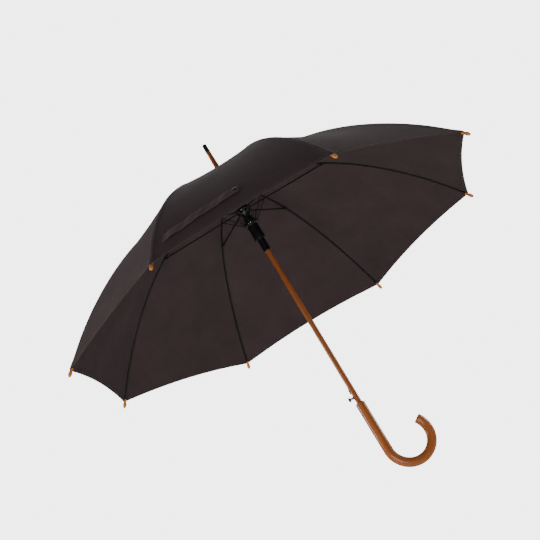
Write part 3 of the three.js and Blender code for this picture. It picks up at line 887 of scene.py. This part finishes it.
# ------------------------------------------------------------------ ribs
def rib_section(width):
    """Channel section: a rounded back below and a groove on the side of the cloth."""
    half, wall, high = width / 2, 0.00055, 0.0013
    inside = half - wall
    back = [(half * math.cos(a), half * math.sin(a)) for a in np.linspace(math.pi, 2 * math.pi, 13)]
    right = [(half, 0.0006), (half - 0.0002, high), (inside, high), (inside, 0.0)]
    bed = np.linspace(2 * math.pi, math.pi, 7)[1:-1]
    groove = [(inside * math.cos(a), 0.85 * inside * math.sin(a)) for a in bed]
    left = [(-x, y) for x, y in right[::-1]]
    return np.array(back + right + groove + left)


class UMBRELLA_OT_ribs(bpy.types.Operator):
    """Eight channel ribs, each with a crimped sleeve where its stretcher meets it"""

    bl_idname = "umbrella.ribs"
    bl_label = "Ribs"

    def execute(self, context):
        f, section = finishes(), rib_section(sizes().rib_thickness)
        arc = np.concatenate([[0.0], np.linspace(0.004, RIB_ARC - 0.008, 88)])
        sleeve_arc = JOINT_ARC + np.array([-0.0075, -0.0072, -0.0066, 0.0, 0.0066, 0.0072, 0.0075])
        sleeve_radii = 0.00178 * np.array([1.02, 1.12, 1.17, 1.17, 1.17, 1.12, 1.02])
        for k in range(RIBS):
            az = azimuth(k)
            side = around(az, 0, -1, 0)
            r, z = on_rib(arc)
            r[0] -= 0.001
            rod = sweep(around(az, r, 0, z), side, lambda i: section * (0.8 if i == 0 else 1.0))
            rib = build(f"rib_{k + 1}_channel", [rod], f["rib_steel"], 50)
            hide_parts(f"rib_{k + 1}")
            bend = [on_rib(JOINT_ARC + step) for step in (-0.024, 0.024)]
            above, below = [tuple(around(az, r, 0, z)) for r, z in bend]
            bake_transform(rib)

            # sleeve crimped on the rib where the stretcher's fork is riveted
            r, z = on_rib(sleeve_arc)
            crimp = sweep(around(az, r, 0, z), side, lambda i: ring(sleeve_radii[i], 20, 0.98))
            sleeve = build(f"rib_{k + 1}_sleeve", [crimp], f["stretcher_steel"], 50)
            place(sleeve, f"rib_{k + 1}", "stretcher_steel")
        return {"FINISHED"}


# along the rib from the hem, and radius
TIP_OUTLINE = np.array([
    (-0.0076, 0.0019), (-0.0073, 0.0026), (-0.0066, 0.0031), (-0.0052, 0.00335), (-0.0036, 0.0034),
    (-0.0022, 0.0033), (-0.0013, 0.0029), (-0.0008, 0.00265), (0.0, 0.0026), (0.0008, 0.00265),
    (0.0013, 0.0029), (0.0021, 0.0035), (0.0034, 0.0039), (0.0052, 0.0041), (0.0072, 0.00405),
    (0.0092, 0.0038), (0.0110, 0.0033), (0.0124, 0.0027), (0.0133, 0.0020), (0.0138, 0.0012),
    (0.0139, 0.0004),
])


def tip_winding(az):
    """Three turns of thread in the waist of a tip."""
    coils, per_turn, m = 3, 20, 6
    reach, thick, pitch = 0.0028, 0.00022, 0.0014 / 3
    slope = float(rib_slope(HEM_RADIUS))
    length = math.hypot(1, slope)
    points = []
    for i in range(coils * per_turn + 1):
        a = 2 * math.pi * i / per_turn
        r, z = on_rib(RIB_ARC + pitch * (i / per_turn - coils / 2))
        for j in range(m):
            b = 2 * math.pi * j / m
            out, on = reach + thick * math.cos(b), thick * math.sin(b)
            up = out * math.cos(a)
            radius, height = r + (on - up * slope) / length, z + (on * slope + up) / length
            points.append(around(az, radius, out * math.sin(a), height))
    return {"points": np.array(points), "faces": tube_faces(coils * per_turn + 1, m)}


class UMBRELLA_OT_tips(bpy.types.Operator):
    """Turned wooden tips, tied to the canopy's corners with thread"""

    bl_idname = "umbrella.tips"
    bl_label = "Rib Tips"

    def execute(self, context):
        f = finishes()
        for k in range(RIBS):
            az = azimuth(k)
            side = around(az, 0, -1, 0)
            r, z = on_rib(RIB_ARC + TIP_OUTLINE[:, 0])
            part = sweep(around(az, r, 0, z), side, lambda i: ring(TIP_OUTLINE[i, 1], 32), 0.05 * k)
            tip = build(f"rib_tip_{k + 1}_turning", [part], f["tip_wood"], 50)
            place(tip, f"rib_end_{k + 1}", "tip_wood", f"rib_tip_{k + 1}")
            thread = build(f"tip_thread_{k + 1}", [tip_winding(az)], f["thread"], 60)
            place(thread, f"rib_end_{k + 1}", "canopy_cloth")
        return {"FINISHED"}


# ------------------------------------------------------------------ stretchers and struts
STRETCH_END = math.hypot(JOINT[0] - RUNNER_PIVOT[0], JOINT[1] - RUNNER_PIVOT[1]) - 0.0017
STRETCH_UP = math.atan2(JOINT[1] - RUNNER_PIVOT[1], JOINT[0] - RUNNER_PIVOT[0])
BAR_WIDE = 0.0017           # half the bar's width
BAR_HIGH = 0.00095          # and half its height


def on_stretcher(az, d, t, h):
    """Points d along a stretcher, t to its side and h above it."""
    c, s = math.cos(STRETCH_UP), math.sin(STRETCH_UP)
    d, t, h = np.broadcast_arrays(d, t, h)
    return around(az, RUNNER_PIVOT[0] + d * c - h * s, t, RUNNER_PIVOT[1] + d * s + h * c)


def pin(az, along, reach, radius):
    """A rivet across a stretcher, with domed heads."""
    head = [(reach, 0.8), (reach, 1.3), (reach + 0.0001, 1.25), (reach + 0.0004, 0.8), (reach + 0.0005, 0.35)]
    rows = [(-t, k) for t, k in head[::-1]] + head
    points, n = [], 16
    for t, k in rows:
        for j in range(n):
            a = 2 * math.pi * j / n
            points.append(on_stretcher(az, along + radius * k * math.cos(a), t, radius * k * math.sin(a)))
    return {"points": np.array(points), "faces": tube_faces(len(rows), n)}


def stretcher_rod(az):
    """Bar with rounded edges, its flattened eye in the runner, spread at the end for the fork."""
    end, n = STRETCH_END, 20
    # along, and the share of the bar's full width and height
    stations = [(-0.0022, 0.6, 0.7), (-0.0018, 0.9, 1.0), (0.004, 1.0, 1.0), (0.008, 0.94, 1.0)]
    stations += [(d, 0.98, 1.4) for d in np.linspace(0.014, end - 0.018, 16)]
    stations += [
        (end - 0.0155, 1.0, 1.0), (end - 0.0135, 1.25, 1.0), (end - 0.0115, 1.55, 1.0),
        (end - 0.0100, 1.70, 1.0), (end - 0.0096, 1.6, 0.9),
    ]
    square = lambda x: math.copysign(abs(x) ** 0.55, x)
    points = []
    for d, wide, high in stations:
        for j in range(n):
            a = 2 * math.pi * (j + 0.5) / n
            t = BAR_WIDE * wide * square(math.cos(a))
            points.append(on_stretcher(az, d, t, BAR_HIGH * high * square(math.sin(a))))
    loops = np.tile(ring(BAR_WIDE, n), (len(stations), 1))
    grain = np.column_stack([loops, np.repeat([s[0] for s in stations], n)])
    return {"points": np.array(points), "faces": tube_faces(len(stations), n), "grain": grain}


def stretcher_cheek(az, side):
    """One cheek of the fork that straddles the rib."""
    end = STRETCH_END
    rows = [
        (end - 0.0118, 0.7), (end - 0.0100, 0.95), (end - 0.004, 1.0), (end, 1.0),
        (end + 0.0014, 0.92), (end + 0.0021, 0.7), (end + 0.0025, 0.4),
    ]
    outline = ((0.0021, 1), (0.0028, 1), (0.0031, 0.75), (0.0031, -0.75), (0.0028, -1), (0.0021, -1))
    points = [on_stretcher(az, d, side * t, q * BAR_HIGH * high) for d, high in rows for t, q in outline]
    return {"points": np.array(points), "faces": tube_faces(len(rows), len(outline))}


class UMBRELLA_OT_stretchers(bpy.types.Operator):
    """Eight stretchers from the runner to the ribs, forked and riveted at the rib"""

    bl_idname = "umbrella.stretchers"
    bl_label = "Stretchers"

    def execute(self, context):
        f = finishes()
        for k in range(RIBS):
            az = azimuth(k)
            parts = [stretcher_rod(az), stretcher_cheek(az, -1), stretcher_cheek(az, 1)]
            parts.append(pin(az, STRETCH_END - 0.0001, 0.00312, 0.00062))
            bar = build(f"stretcher_{k + 1}_bar", parts, f["stretcher_steel"], 45)
            place(bar, f"stretcher_{k + 1}", "stretcher_steel", f"stretcher_{k + 1}")
        return {"FINISHED"}


class UMBRELLA_OT_struts(bpy.types.Operator):
    """Eight bent-wire struts from the spring cup to the stretchers"""

    bl_idname = "umbrella.struts"
    bl_label = "Struts"

    def execute(self, context):
        f = finishes()
        start = np.array(CUP_PIVOT)
        along_stretcher = np.array([math.cos(STRETCH_UP), math.sin(STRETCH_UP)])
        way = np.array(RUNNER_PIVOT) + STRUT_AT * along_stretcher - start
        length = float(np.linalg.norm(way))
        way /= length
        # one leg out, round the bend at the cup, and the other leg back
        half, bend, reach = 0.0027, 0.0012, length + 0.0013
        leg = [(d, half) for d in np.linspace(reach, bend, 12)]
        for x in np.linspace(0, math.pi / 2, 7)[1:]:
            leg.append((bend - bend * math.sin(x), half - bend + bend * math.cos(x)))
        legs = np.array(leg + [(d, -t) for d, t in leg[::-1]])
        for k in range(RIBS):
            az = azimuth(k)
            radii, heights = start[:, None] + way[:, None] * legs[:, 0]
            path = around(az, radii, legs[:, 1], heights)
            wire = sweep(path, around(az, way[1], 0, -way[0]), lambda i: ring(0.0007, 12))
            parts = [wire, pin(az, STRUT_AT, 0.0030, 0.0005)]
            strut = build(f"strut_{k + 1}_wire", parts, f["strut_wire"], 50)
            place(strut, f"strut_{k + 1}", "strut_wire", f"strut_{k + 1}")
        return {"FINISHED"}


# ------------------------------------------------------------------ canopy
HEM = 0.008                 # width of the folded hem
SEAM = 0.0050               # half the width of a felled seam
SLACK = (0.8, 0.7, 0.8, 0.7, 0.35, 0.6, 1.0, 0.8)       # how loosely each gore is cut
CREASED = (0.45, 1.0, 0.5, 0.6, 1.0, 0.8, 1.0, 0.9)     # how hard each corner is pulled
CHORD = 2 * math.sin(GORE / 2)      # straight across a gore, over its radius


def radius_above_hem(up):
    """Radius on the rib at a length up from the hem."""
    return np.interp(up, RIB_ARC - RIB_RUN[::-1], RIB_RADII[::-1])


def crease(k, t, d):
    """Height of the fan of creases round a hem corner, t along the hem and d up the rib."""
    t, d = np.broadcast_arrays(np.asarray(t, float), np.asarray(d, float))
    far = np.hypot(t, d)
    turn = np.arctan2(np.abs(t), d + 1e-9)
    phase = 1.9 * k + 0.8 * np.sign(t)
    fan = np.sin(turn * (11 + (k * 3) % 4) + phase) + 0.5 * np.sin(turn * 19 + 2.3 * phase)
    fade = np.exp(-far / 0.085) * (1 - np.exp(-far / 0.016)) * ease(np.abs(t), 0.002, 0.022)
    pull = 0.25 * np.sin(far * 70 + phase) * np.exp(-far / 0.20) * ease(np.abs(t), 0.006, 0.05)
    return sizes().wrinkle * CREASED[k] * (fan * fade + pull)


def cloth_point(k, side, u, r, lift):
    """Cloth beside rib k, on its side -1 or 1: its place, and where it lies in the flat cut.

    u goes from 0 on the rib to 0.5 at mid-gore, and r is the radius on the rib. The cloth
    runs straight across from rib to rib, and its hem bows in between them.
    """
    s = sizes()
    q = (r - CLOTH_FROM) / (HEM_RADIUS - CLOTH_FROM)
    bow = s.hem_scallop * 4 * u * (1 - u) * q * q
    rr = CLOTH_FROM + (HEM_RADIUS - CLOTH_FROM - bow) * q
    across = rr * CHORD * u
    slope = rib_slope(rr)
    length = np.hypot(1, slope)
    up = RIB_ARC - np.interp(rr, RIB_RADII, RIB_RUN)
    # room at the corner for the tip's collar
    corner = np.exp(-((across / 0.012) ** 2))
    room = corner * (0.0013 * ease(-up, -0.030, -0.009) - 0.0008 * ease(-up, -0.003, 0.0))
    rise = crease(k, side * across, up) * (1 - 2 * u) ** 2 * ease(up, -0.001, 0.004)
    slack = SLACK[(k if side == 1 else k - 1) % RIBS]
    dip = s.sag * slack * 4 * u * (1 - u) * np.sin(math.pi * np.clip(q, 0, 1) ** 1.25) ** 1.3
    gap = s.cloth_gap + room + rise + lift - dip
    out = rr - slope / length * gap
    height = rib_height(np.maximum(rr, RIB_RADII[0])) + gap / length
    a0, a1 = azimuth(k), azimuth(k + side)
    x = out * (math.cos(a0) * (1 - u) + math.cos(a1) * u)
    y = out * (math.sin(a0) * (1 - u) + math.sin(a1) * u)
    return np.stack([x, y, height], -1), side * across, up


def cut_map(obj, flat):
    """Lays a flat cut pattern, in metres, on the mesh as its UV map."""
    layer = obj.data.uv_layers.new(name="cut")
    index = np.zeros(len(obj.data.loops), int)
    obj.data.loops.foreach_get("vertex_index", index)
    layer.data.foreach_set("uv", np.asarray(flat, float)[index].astype(np.float32).ravel())


def cloth_grid(k, rows):
    """The cloth round one rib as a closed sheet, with its flat cut and its area."""
    s = sizes()
    seam = np.array([0.0, 0.0005, 0.0012, 0.0025, 0.0040, SEAM, SEAM + 0.0008])
    spread = 1 - (1 - np.linspace(0, 1, 20)[1:]) ** 1.15
    layers, flats = [], []
    for inside in (False, True):
        grid, flat = [], []
        for r in rows:
            wide = r * CHORD
            near = np.minimum(seam / wide, 0.5 * np.arange(len(seam)) / (len(seam) + 6))
            u = np.concatenate([near, near[-1] + (0.5 - near[-1]) * spread])
            t = u * wide
            up = RIB_ARC - float(np.interp(r, RIB_RADII, RIB_RUN))
            felled = 1 - ease(t, SEAM - 0.0002, SEAM + 0.0008)
            hem = 1 - float(ease(up, HEM - 0.0003, HEM + 0.0006))
            if inside:
                lift = -0.00042 * np.maximum(felled * 0.75, hem)
            else:
                groove = 0.00045 * (1 - ease(t, 0.0003, 0.0014))
                lift = s.cloth + 0.00030 * felled - groove + 0.0001 * hem
            line, cut = [], []
            for side in (-1, 1):
                p, across, arc = cloth_point(k, side, u, np.full_like(u, r), lift)
                order = slice(None, 0, -1) if side == -1 else slice(None)
                line.append(p[order])
                cut.append(np.column_stack([across, arc])[order])
            grid.append(np.concatenate(line))
            flat.append(np.concatenate(cut))
        layers.append(np.array(grid))
        flats.append(np.array(flat))
    outer = layers[0]
    falling, rising = outer[1:, 1:] - outer[:-1, :-1], outer[1:, :-1] - outer[:-1, 1:]
    area = 0.5 * np.linalg.norm(np.cross(falling, rising), axis=-1).sum()
    points = np.concatenate([layer.reshape(-1, 3) for layer in layers])
    flat = np.concatenate([layer.reshape(-1, 2) for layer in flats])
    return {"points": points, "faces": sheet_faces(*outer.shape[:2])}, flat, float(area)


def cloth_rows(part):
    """Radii of the rows: the top half of a gore, or the half below the joint."""
    if part == "upper":
        return np.concatenate([[CLOTH_FROM, 0.0115, 0.015], np.linspace(0.020, JOINT_RADIUS, 27)])
    over = [0.0140, 0.0115, HEM + 0.0009, HEM + 0.0003]
    on_hem = [HEM - 0.0004, 0.0060, 0.0042, 0.0028, 0.0016, 0.0007, 0.0]
    near = radius_above_hem(np.array(over + on_hem))
    return np.concatenate([np.linspace(JOINT_RADIUS, 0.484, 36), near])


def gather(obj, k):
    """Gives the piece its own copy of its mesh."""
    across, on_the_rib = around(azimuth(k), 0, 1, 0), around(azimuth(k), 0.2, 0, 0)
    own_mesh(obj)


def halves(k):
    """The two parts of a gore, each with the body that it rides on."""
    return (("upper", f"rib_{k + 1}"), ("lower", f"rib_end_{k + 1}"))


class UMBRELLA_OT_canopy(bpy.types.Operator):
    """Canopy cloth, stretched from rib to rib, with felled seams and a folded hem"""

    bl_idname = "umbrella.canopy"
    bl_label = "Canopy"

    def execute(self, context):
        f = finishes()
        lap = 0.0008        # lap past the joint, added only to the upper part's length; the upper part's rows stop at the joint
        for k in range(RIBS):
            for part, body in halves(k):
                rows = cloth_rows(part)
                solid, flat, area = cloth_grid(k, rows)
                cloth = build(f"canopy_{k + 1}_{part}", [solid], f["canopy_cloth"], 60)
                cut_map(cloth, flat)
                long = float(np.diff(np.interp(rows[[0, -1]], RIB_RADII, RIB_RUN))[0])
                replaced = [f"canopy_panel_{k + 1}"]
                if part == "upper":
                    long += lap
                    replaced = []
                place(cloth, body, "canopy_cloth", *replaced)
                gather(cloth, k)
        return {"FINISHED"}


def stitch_tree():
    """Node tree that sews a row of stitches along the mesh's edges."""
    tree = bpy.data.node_groups.get("stitch row")
    if tree:
        return tree
    tree = bpy.data.node_groups.new("stitch row", "GeometryNodeTree")
    face = tree.interface
    face.new_socket("Line", in_out="INPUT", socket_type="NodeSocketGeometry")
    for label, value in (("Pitch", 0.0034), ("Length", 0.0023), ("Thickness", 0.0005)):
        socket = face.new_socket(label, in_out="INPUT", socket_type="NodeSocketFloat")
        socket.default_value = value
        socket.subtype = "DISTANCE"
    seed = face.new_socket("Seed", in_out="INPUT", socket_type="NodeSocketInt")
    seed.default_value = 7
    face.new_socket("Thread", in_out="INPUT", socket_type="NodeSocketMaterial")
    face.new_socket("Stitches", in_out="OUTPUT", socket_type="NodeSocketGeometry")
    new, link = tree.nodes.new, tree.links.new
    start, end = new("NodeGroupInput"), new("NodeGroupOutput")
    curve = new("GeometryNodeMeshToCurve")
    link(start.outputs["Line"], curve.inputs[0])
    even = new("GeometryNodeResampleCurve")
    even.mode = "LENGTH"
    link(curve.outputs[0], even.inputs["Curve"])
    link(start.outputs["Pitch"], even.inputs["Length"])
    bead = new("GeometryNodeMeshUVSphere")
    bead.inputs["Segments"].default_value = 6
    bead.inputs["Rings"].default_value = 4
    bead.inputs["Radius"].default_value = 0.5
    tangent = new("GeometryNodeInputTangent")
    turn = new("FunctionNodeAlignRotationToVector")
    turn.axis = "X"
    link(tangent.outputs[0], turn.inputs["Vector"])
    vary = new("FunctionNodeRandomValue")
    vary.data_type = "FLOAT"
    vary.inputs[2].default_value = 0.86
    vary.inputs[3].default_value = 1.08
    link(start.outputs["Seed"], vary.inputs["Seed"])
    long = new("ShaderNodeMath")
    long.operation = "MULTIPLY"
    link(start.outputs["Length"], long.inputs[0])
    link(vary.outputs[1], long.inputs[1])
    size = new("ShaderNodeCombineXYZ")
    link(long.outputs[0], size.inputs[0])
    link(start.outputs["Thickness"], size.inputs[1])
    link(start.outputs["Thickness"], size.inputs[2])
    sew = new("GeometryNodeInstanceOnPoints")
    link(even.outputs[0], sew.inputs["Points"])
    link(bead.outputs[0], sew.inputs["Instance"])
    link(turn.outputs[0], sew.inputs["Rotation"])
    link(size.outputs[0], sew.inputs["Scale"])
    real = new("GeometryNodeRealizeInstances")
    link(sew.outputs[0], real.inputs[0])
    paint = new("GeometryNodeSetMaterial")
    link(real.outputs[0], paint.inputs["Geometry"])
    link(start.outputs["Thread"], paint.inputs["Material"])
    link(paint.outputs[0], end.inputs[0])
    return tree


def sewn(name, lines, thread):
    """A mesh of stitches along lists of points."""
    points, edges = [], []
    for line in lines:
        start = len(points)
        points += [tuple(p) for p in line]
        edges += [(start + i, start + i + 1) for i in range(len(line) - 1)]
    mesh = bpy.data.meshes.new(name)
    mesh.from_pydata(points, edges, [])
    obj = bpy.data.objects.new(name, mesh)
    bpy.context.collection.objects.link(obj)
    mesh.materials.append(thread)
    modifier = obj.modifiers.new("sew", "NODES")
    modifier.node_group = stitch_tree()
    sockets = {i.name: i.identifier for i in modifier.node_group.interface.items_tree if i.in_out == "INPUT"}
    modifier[sockets["Pitch"]] = sizes().stitch_pitch
    modifier[sockets["Length"]] = sizes().stitch
    modifier[sockets["Thread"]] = thread
    settle(obj)
    obj.data.polygons.foreach_set("use_smooth", [True] * len(obj.data.polygons))
    return obj


class UMBRELLA_OT_stitching(bpy.types.Operator):
    """Rows of stitches along the seams and the hem"""

    bl_idname = "umbrella.stitching"
    bl_label = "Stitching"

    def execute(self, context):
        thread = finishes()["thread"]
        outside, inside = sizes().cloth, 0.0
        for k in range(RIBS):
            for part, body in halves(k):
                radii = np.linspace(JOINT_RADIUS + 0.001, 0.4965, 90)
                if part == "upper":
                    radii = np.linspace(0.022, JOINT_RADIUS - 0.001, 60)
                lines = []
                for side in (-1, 1):
                    u = 0.0031 / (radii * CHORD)
                    lines.append(cloth_point(k, side, u, radii, outside + 0.00034)[0])
                    lines.append(cloth_point(k, side, u * 1.25, radii, inside - 0.00042)[0])
                if part == "lower":
                    u = np.linspace(0.017, 0.4995, 70)
                    hem = np.full_like(u, radius_above_hem(0.0062))
                    for side in (-1, 1):
                        lines.append(cloth_point(k, side, u, hem, outside + 0.00016)[0])
                        lines.append(cloth_point(k, side, u, hem, inside - 0.00048)[0])
                rows = sewn(f"stitching_{k + 1}_{part}", lines, thread)
                place(rows, body, "canopy_cloth")
                gather(rows, k)
        return {"FINISHED"}


# ------------------------------------------------------------------ strap
STRAP_RIB = 5               # sewn beside rib 6, counted from 0
STRAP_A = (0.07, 0.922)     # across the gore and down it, where the strap is sewn
STRAP_B = (0.55, 0.900)     # and its free end
STRAP_HALF = 0.0182         # half its width, as a share of the way down the gore


def gore_point(k, u, q, lift):
    """Cloth between rib k and the next, u from 0 to 1 across."""
    u, q = np.broadcast_arrays(np.asarray(u, float), np.asarray(q, float))
    r = CLOTH_FROM + (HEM_RADIUS - CLOTH_FROM) * q
    lift = np.broadcast_to(lift, u.shape)
    near = cloth_point(k, 1, np.minimum(u, 0.5), r, lift)[0]
    far = cloth_point((k + 1) % RIBS, -1, np.minimum(1 - u, 0.5), r, lift)[0]
    return np.where((u <= 0.5)[..., None], near, far)


def strap_point(v, across, lift):
    """A place v along the strap, and across it from -1 to 1."""
    sway = 0.0012 * np.sin(9 * v + 0.6) * v
    u = STRAP_A[0] + (STRAP_B[0] - STRAP_A[0]) * v
    q = STRAP_A[1] + (STRAP_B[1] - STRAP_A[1]) * v + sway + across * STRAP_HALF
    return gore_point(STRAP_RIB, u, q, lift)


def strap_rise(v, across):
    """How far the strap stands off the cloth at such a place."""
    loose = 1 + 0.45 * np.sin(17 * v + 0.4) + 0.26 * np.sin(41 * v + 2.0 * across)
    return 0.0022 * ease(v, 0.03, 0.12) * loose * (1 - 0.30 * np.asarray(across) ** 2) + 0.0005


class UMBRELLA_OT_strap(bpy.types.Operator):
    """Tie strap lying on the front panel, with its press stud"""

    bl_idname = "umbrella.strap"
    bl_label = "Tie Strap"

    def execute(self, context):
        self.band()
        self.stitches()
        self.stud()
        return {"FINISHED"}

    def band(self):
        """The strap itself, with a round free end."""
        n, tail = 56, 0.055
        across = np.array([-1.0, -0.97, -0.90, -0.80, -0.5, 0.0, 0.5, 0.80, 0.90, 0.97, 1.0])
        layers, flats = [], []
        for inside in (False, True):
            rows, cut = [], []
            for v in np.arange(n + 1) / n:
                past = max(0.0, (v - 1 + tail) / tail)
                width = 0.25 + 0.75 * math.sqrt(max(0.0, 1 - past**2))
                lift = sizes().cloth + 0.0004 + strap_rise(v, across)
                if not inside:
                    lift = lift + 0.0009 + 0.00022 * (1 - ease(np.abs(across), 0.92, 1.0))
                rows.append(strap_point(v, across * width, lift))
                cut.append(np.column_stack([across * 0.009, np.full_like(across, v * 0.17)]))
            layers.append(np.array(rows))
            flats.append(np.array(cut))
        outer = layers[0]
        points = np.concatenate([layer.reshape(-1, 3) for layer in layers])
        part = {"points": points, "faces": sheet_faces(*outer.shape[:2])}
        band = build("strap_band", [part], finishes()["strap_cloth"], 60)
        cut_map(band, np.concatenate([c.reshape(-1, 2) for c in flats]))
        place(band, "rib_end_6", "strap_cloth", "tie_strap")
        gather(band, STRAP_RIB)

    def stitches(self):
        """A row of stitches along each edge."""
        v = np.linspace(0.02, 0.93, 80)
        lines = []
        for edge in (-0.80, 0.80):
            lift = sizes().cloth + 0.00135 + strap_rise(v, edge)
            lines.append(strap_point(v, edge, lift))
        rows = sewn("strap_stitching", lines, finishes()["thread"])
        place(rows, "rib_end_6", "strap_cloth")
        gather(rows, STRAP_RIB)

    def stud(self):
        """Domed press stud near the free end."""
        u = STRAP_A[0] + (STRAP_B[0] - STRAP_A[0]) * 0.94
        q = STRAP_A[1] + (STRAP_B[1] - STRAP_A[1]) * 0.94
        lift = sizes().cloth + 0.0040
        mid = gore_point(STRAP_RIB, u, q, lift)
        along = gore_point(STRAP_RIB, u + 0.01, q, lift) - mid
        along /= np.linalg.norm(along)
        up = np.cross(along, gore_point(STRAP_RIB, u, q + 0.01, lift) - mid)
        up /= np.linalg.norm(up)
        if up[2] < 0:
            up = -up
        across = np.cross(up, along)
        outline = [
            (0.0049, 0.0), (0.0052, 0.0002), (0.0052, 0.0005), (0.0049, 0.0008), (0.0044, 0.0009),
            (0.0041, 0.0007), (0.0037, 0.0008), (0.0031, 0.0013), (0.0022, 0.00165), (0.0011, 0.00180),
            (0.0003, 0.00182),
        ]
        points, n = [], 36
        a = 2 * math.pi * np.arange(n)[:, None] / n
        for r, h in outline:
            points.append(mid + r * np.cos(a) * along + r * np.sin(a) * across + h * up)
        part = {"points": np.concatenate(points), "faces": tube_faces(len(outline), n)}
        stud = build("strap_stud", [part], finishes()["black_metal"], 50)
        place(stud, "rib_end_6", "black_metal", "strap_snap")
        gather(stud, STRAP_RIB)


# ------------------------------------------------------------------ stage
FLOOR_HEIGHT = -1.75
FLOOR_RADIUS = 14.0
CAMERA_PLACE = (-0.61536, -2.50801, -1.18712)
CAMERA_AXES = (  # right, down and forward
    (0.860961, -0.081490, -0.502101),
    (-0.447042, 0.349732, -0.823311),
    (0.242692, 0.933299, 0.264676),
)
CAMERA_LENS = 83.74
CAMERA_SHIFT = (-0.102, 0.080)


class UMBRELLA_OT_stage(bpy.types.Operator):
    """Pale floor, soft studio light and the camera"""

    bl_idname = "umbrella.stage"
    bl_label = "Stage"

    def execute(self, context):
        self.floor()
        self.room(context)
        self.lights(context)
        self.camera(context)
        return {"FINISHED"}

    def floor(self):
        n = 64
        a = 2 * math.pi * np.arange(n) / n
        x, y = FLOOR_RADIUS * np.cos(a), FLOOR_RADIUS * np.sin(a)
        rim = np.column_stack([x, y, np.full(n, FLOOR_HEIGHT)])
        mesh = bpy.data.meshes.new("floor")
        mesh.from_pydata(rim.tolist(), [], [list(range(n))])
        floor = bpy.data.objects.new("floor", mesh)
        bpy.context.collection.objects.link(floor)
        f = Finish("pale_floor", Roughness=0.8)
        mottle = f.noise(f.place(), 2.0, 4.0)
        mesh.materials.append(f.join(Base_Color=f.ramp(mottle, (0.3, 0.86), (0.7, 0.90))))

    def room(self, context):
        """Dim even light from all round, with a bright backdrop behind the umbrella."""
        world = bpy.data.worlds.new("pale_room")
        world.use_nodes = True
        nodes, links = world.node_tree.nodes, world.node_tree.links
        room = next(x for x in nodes if x.type == "BACKGROUND")
        room.inputs["Color"].default_value = (1.0, 1.0, 1.0, 1)
        room.inputs["Strength"].default_value = 0.20
        backdrop = nodes.new("ShaderNodeBackground")
        backdrop.inputs["Color"].default_value = (1.0, 1.0, 1.0, 1)
        backdrop.inputs["Strength"].default_value = 4.5
        seen, either = nodes.new("ShaderNodeLightPath"), nodes.new("ShaderNodeMixShader")
        links.new(seen.outputs["Is Camera Ray"], either.inputs[0])
        links.new(room.outputs[0], either.inputs[1])
        links.new(backdrop.outputs[0], either.inputs[2])
        end = next(x for x in nodes if x.type == "OUTPUT_WORLD")
        links.new(either.outputs[0], end.inputs["Surface"])
        context.scene.world = world

    def lights(self, context):
        target = Vector((0.0, 0.0, -0.45))
        for name, place_at, power, size in (
            ("left_light", (-3.0, 0.4, 0.3), 64, 1.2),
            ("right_light", (3.0, 0.2, 0.3), 62, 1.2),
            ("back_light", (0.8, 2.0, 2.2), 22, 1.8),
            ("low_light", (-0.9, -1.7, -1.6), 46, 1.6),
        ):
            data = bpy.data.lights.new(name, "AREA")
            data.energy, data.size = power, size
            lamp = bpy.data.objects.new(name, data)
            lamp.location = place_at
            lamp.rotation_euler = (target - lamp.location).to_track_quat("-Z", "Y").to_euler()
            context.collection.objects.link(lamp)

    def camera(self, context):
        data = bpy.data.cameras.new("camera")
        data.sensor_fit, data.sensor_width, data.lens = "HORIZONTAL", 36.0, CAMERA_LENS
        data.shift_x, data.shift_y = CAMERA_SHIFT
        data.clip_start, data.clip_end = 0.05, 60.0
        camera = bpy.data.objects.new("camera", data)
        right, down, forward = (Vector(a) for a in CAMERA_AXES)
        turn = Matrix((right, -down, -forward)).transposed().to_4x4()
        camera.matrix_world = Matrix.Translation(CAMERA_PLACE) @ turn
        context.collection.objects.link(camera)
        context.scene.camera = camera


# ------------------------------------------------------------------ panel and running
STEPS = (
    UMBRELLA_OT_shaft, UMBRELLA_OT_handle, UMBRELLA_OT_catch, UMBRELLA_OT_crown, UMBRELLA_OT_runner,
    UMBRELLA_OT_cup, UMBRELLA_OT_ribs, UMBRELLA_OT_tips, UMBRELLA_OT_stretchers, UMBRELLA_OT_struts,
    UMBRELLA_OT_canopy, UMBRELLA_OT_stitching, UMBRELLA_OT_strap, UMBRELLA_OT_stage,
)


class UMBRELLA_PT_panel(bpy.types.Panel):
    """Lists the umbrella's pieces, sizes and colours"""

    bl_idname = "UMBRELLA_PT_panel"
    bl_label = "Stick Umbrella"
    bl_space_type = "VIEW_3D"
    bl_region_type = "UI"
    bl_category = "Umbrella"

    def draw(self, context):
        for step in STEPS:
            self.layout.operator(step.bl_idname)
        for group in (context.scene.umbrella_sizes, context.scene.umbrella_colours):
            box = self.layout.box()
            for key in group.bl_rna.properties.keys():
                if key not in ("rna_type", "name"):
                    box.prop(group, key)


CLASSES = (UmbrellaSizes, UmbrellaColours, *STEPS, UMBRELLA_PT_panel)


def register():
    for c in CLASSES:
        bpy.utils.register_class(c)
    bpy.types.Scene.umbrella_sizes = PointerProperty(type=UmbrellaSizes)
    bpy.types.Scene.umbrella_colours = PointerProperty(type=UmbrellaColours)


def unregister():
    del bpy.types.Scene.umbrella_sizes
    del bpy.types.Scene.umbrella_colours
    for c in reversed(CLASSES):
        bpy.utils.unregister_class(c)


def main():
    register()
    for step in STEPS:
        group, name = step.bl_idname.split(".")
        getattr(getattr(bpy.ops, group), name)()


if __name__ == "__main__":
    main()
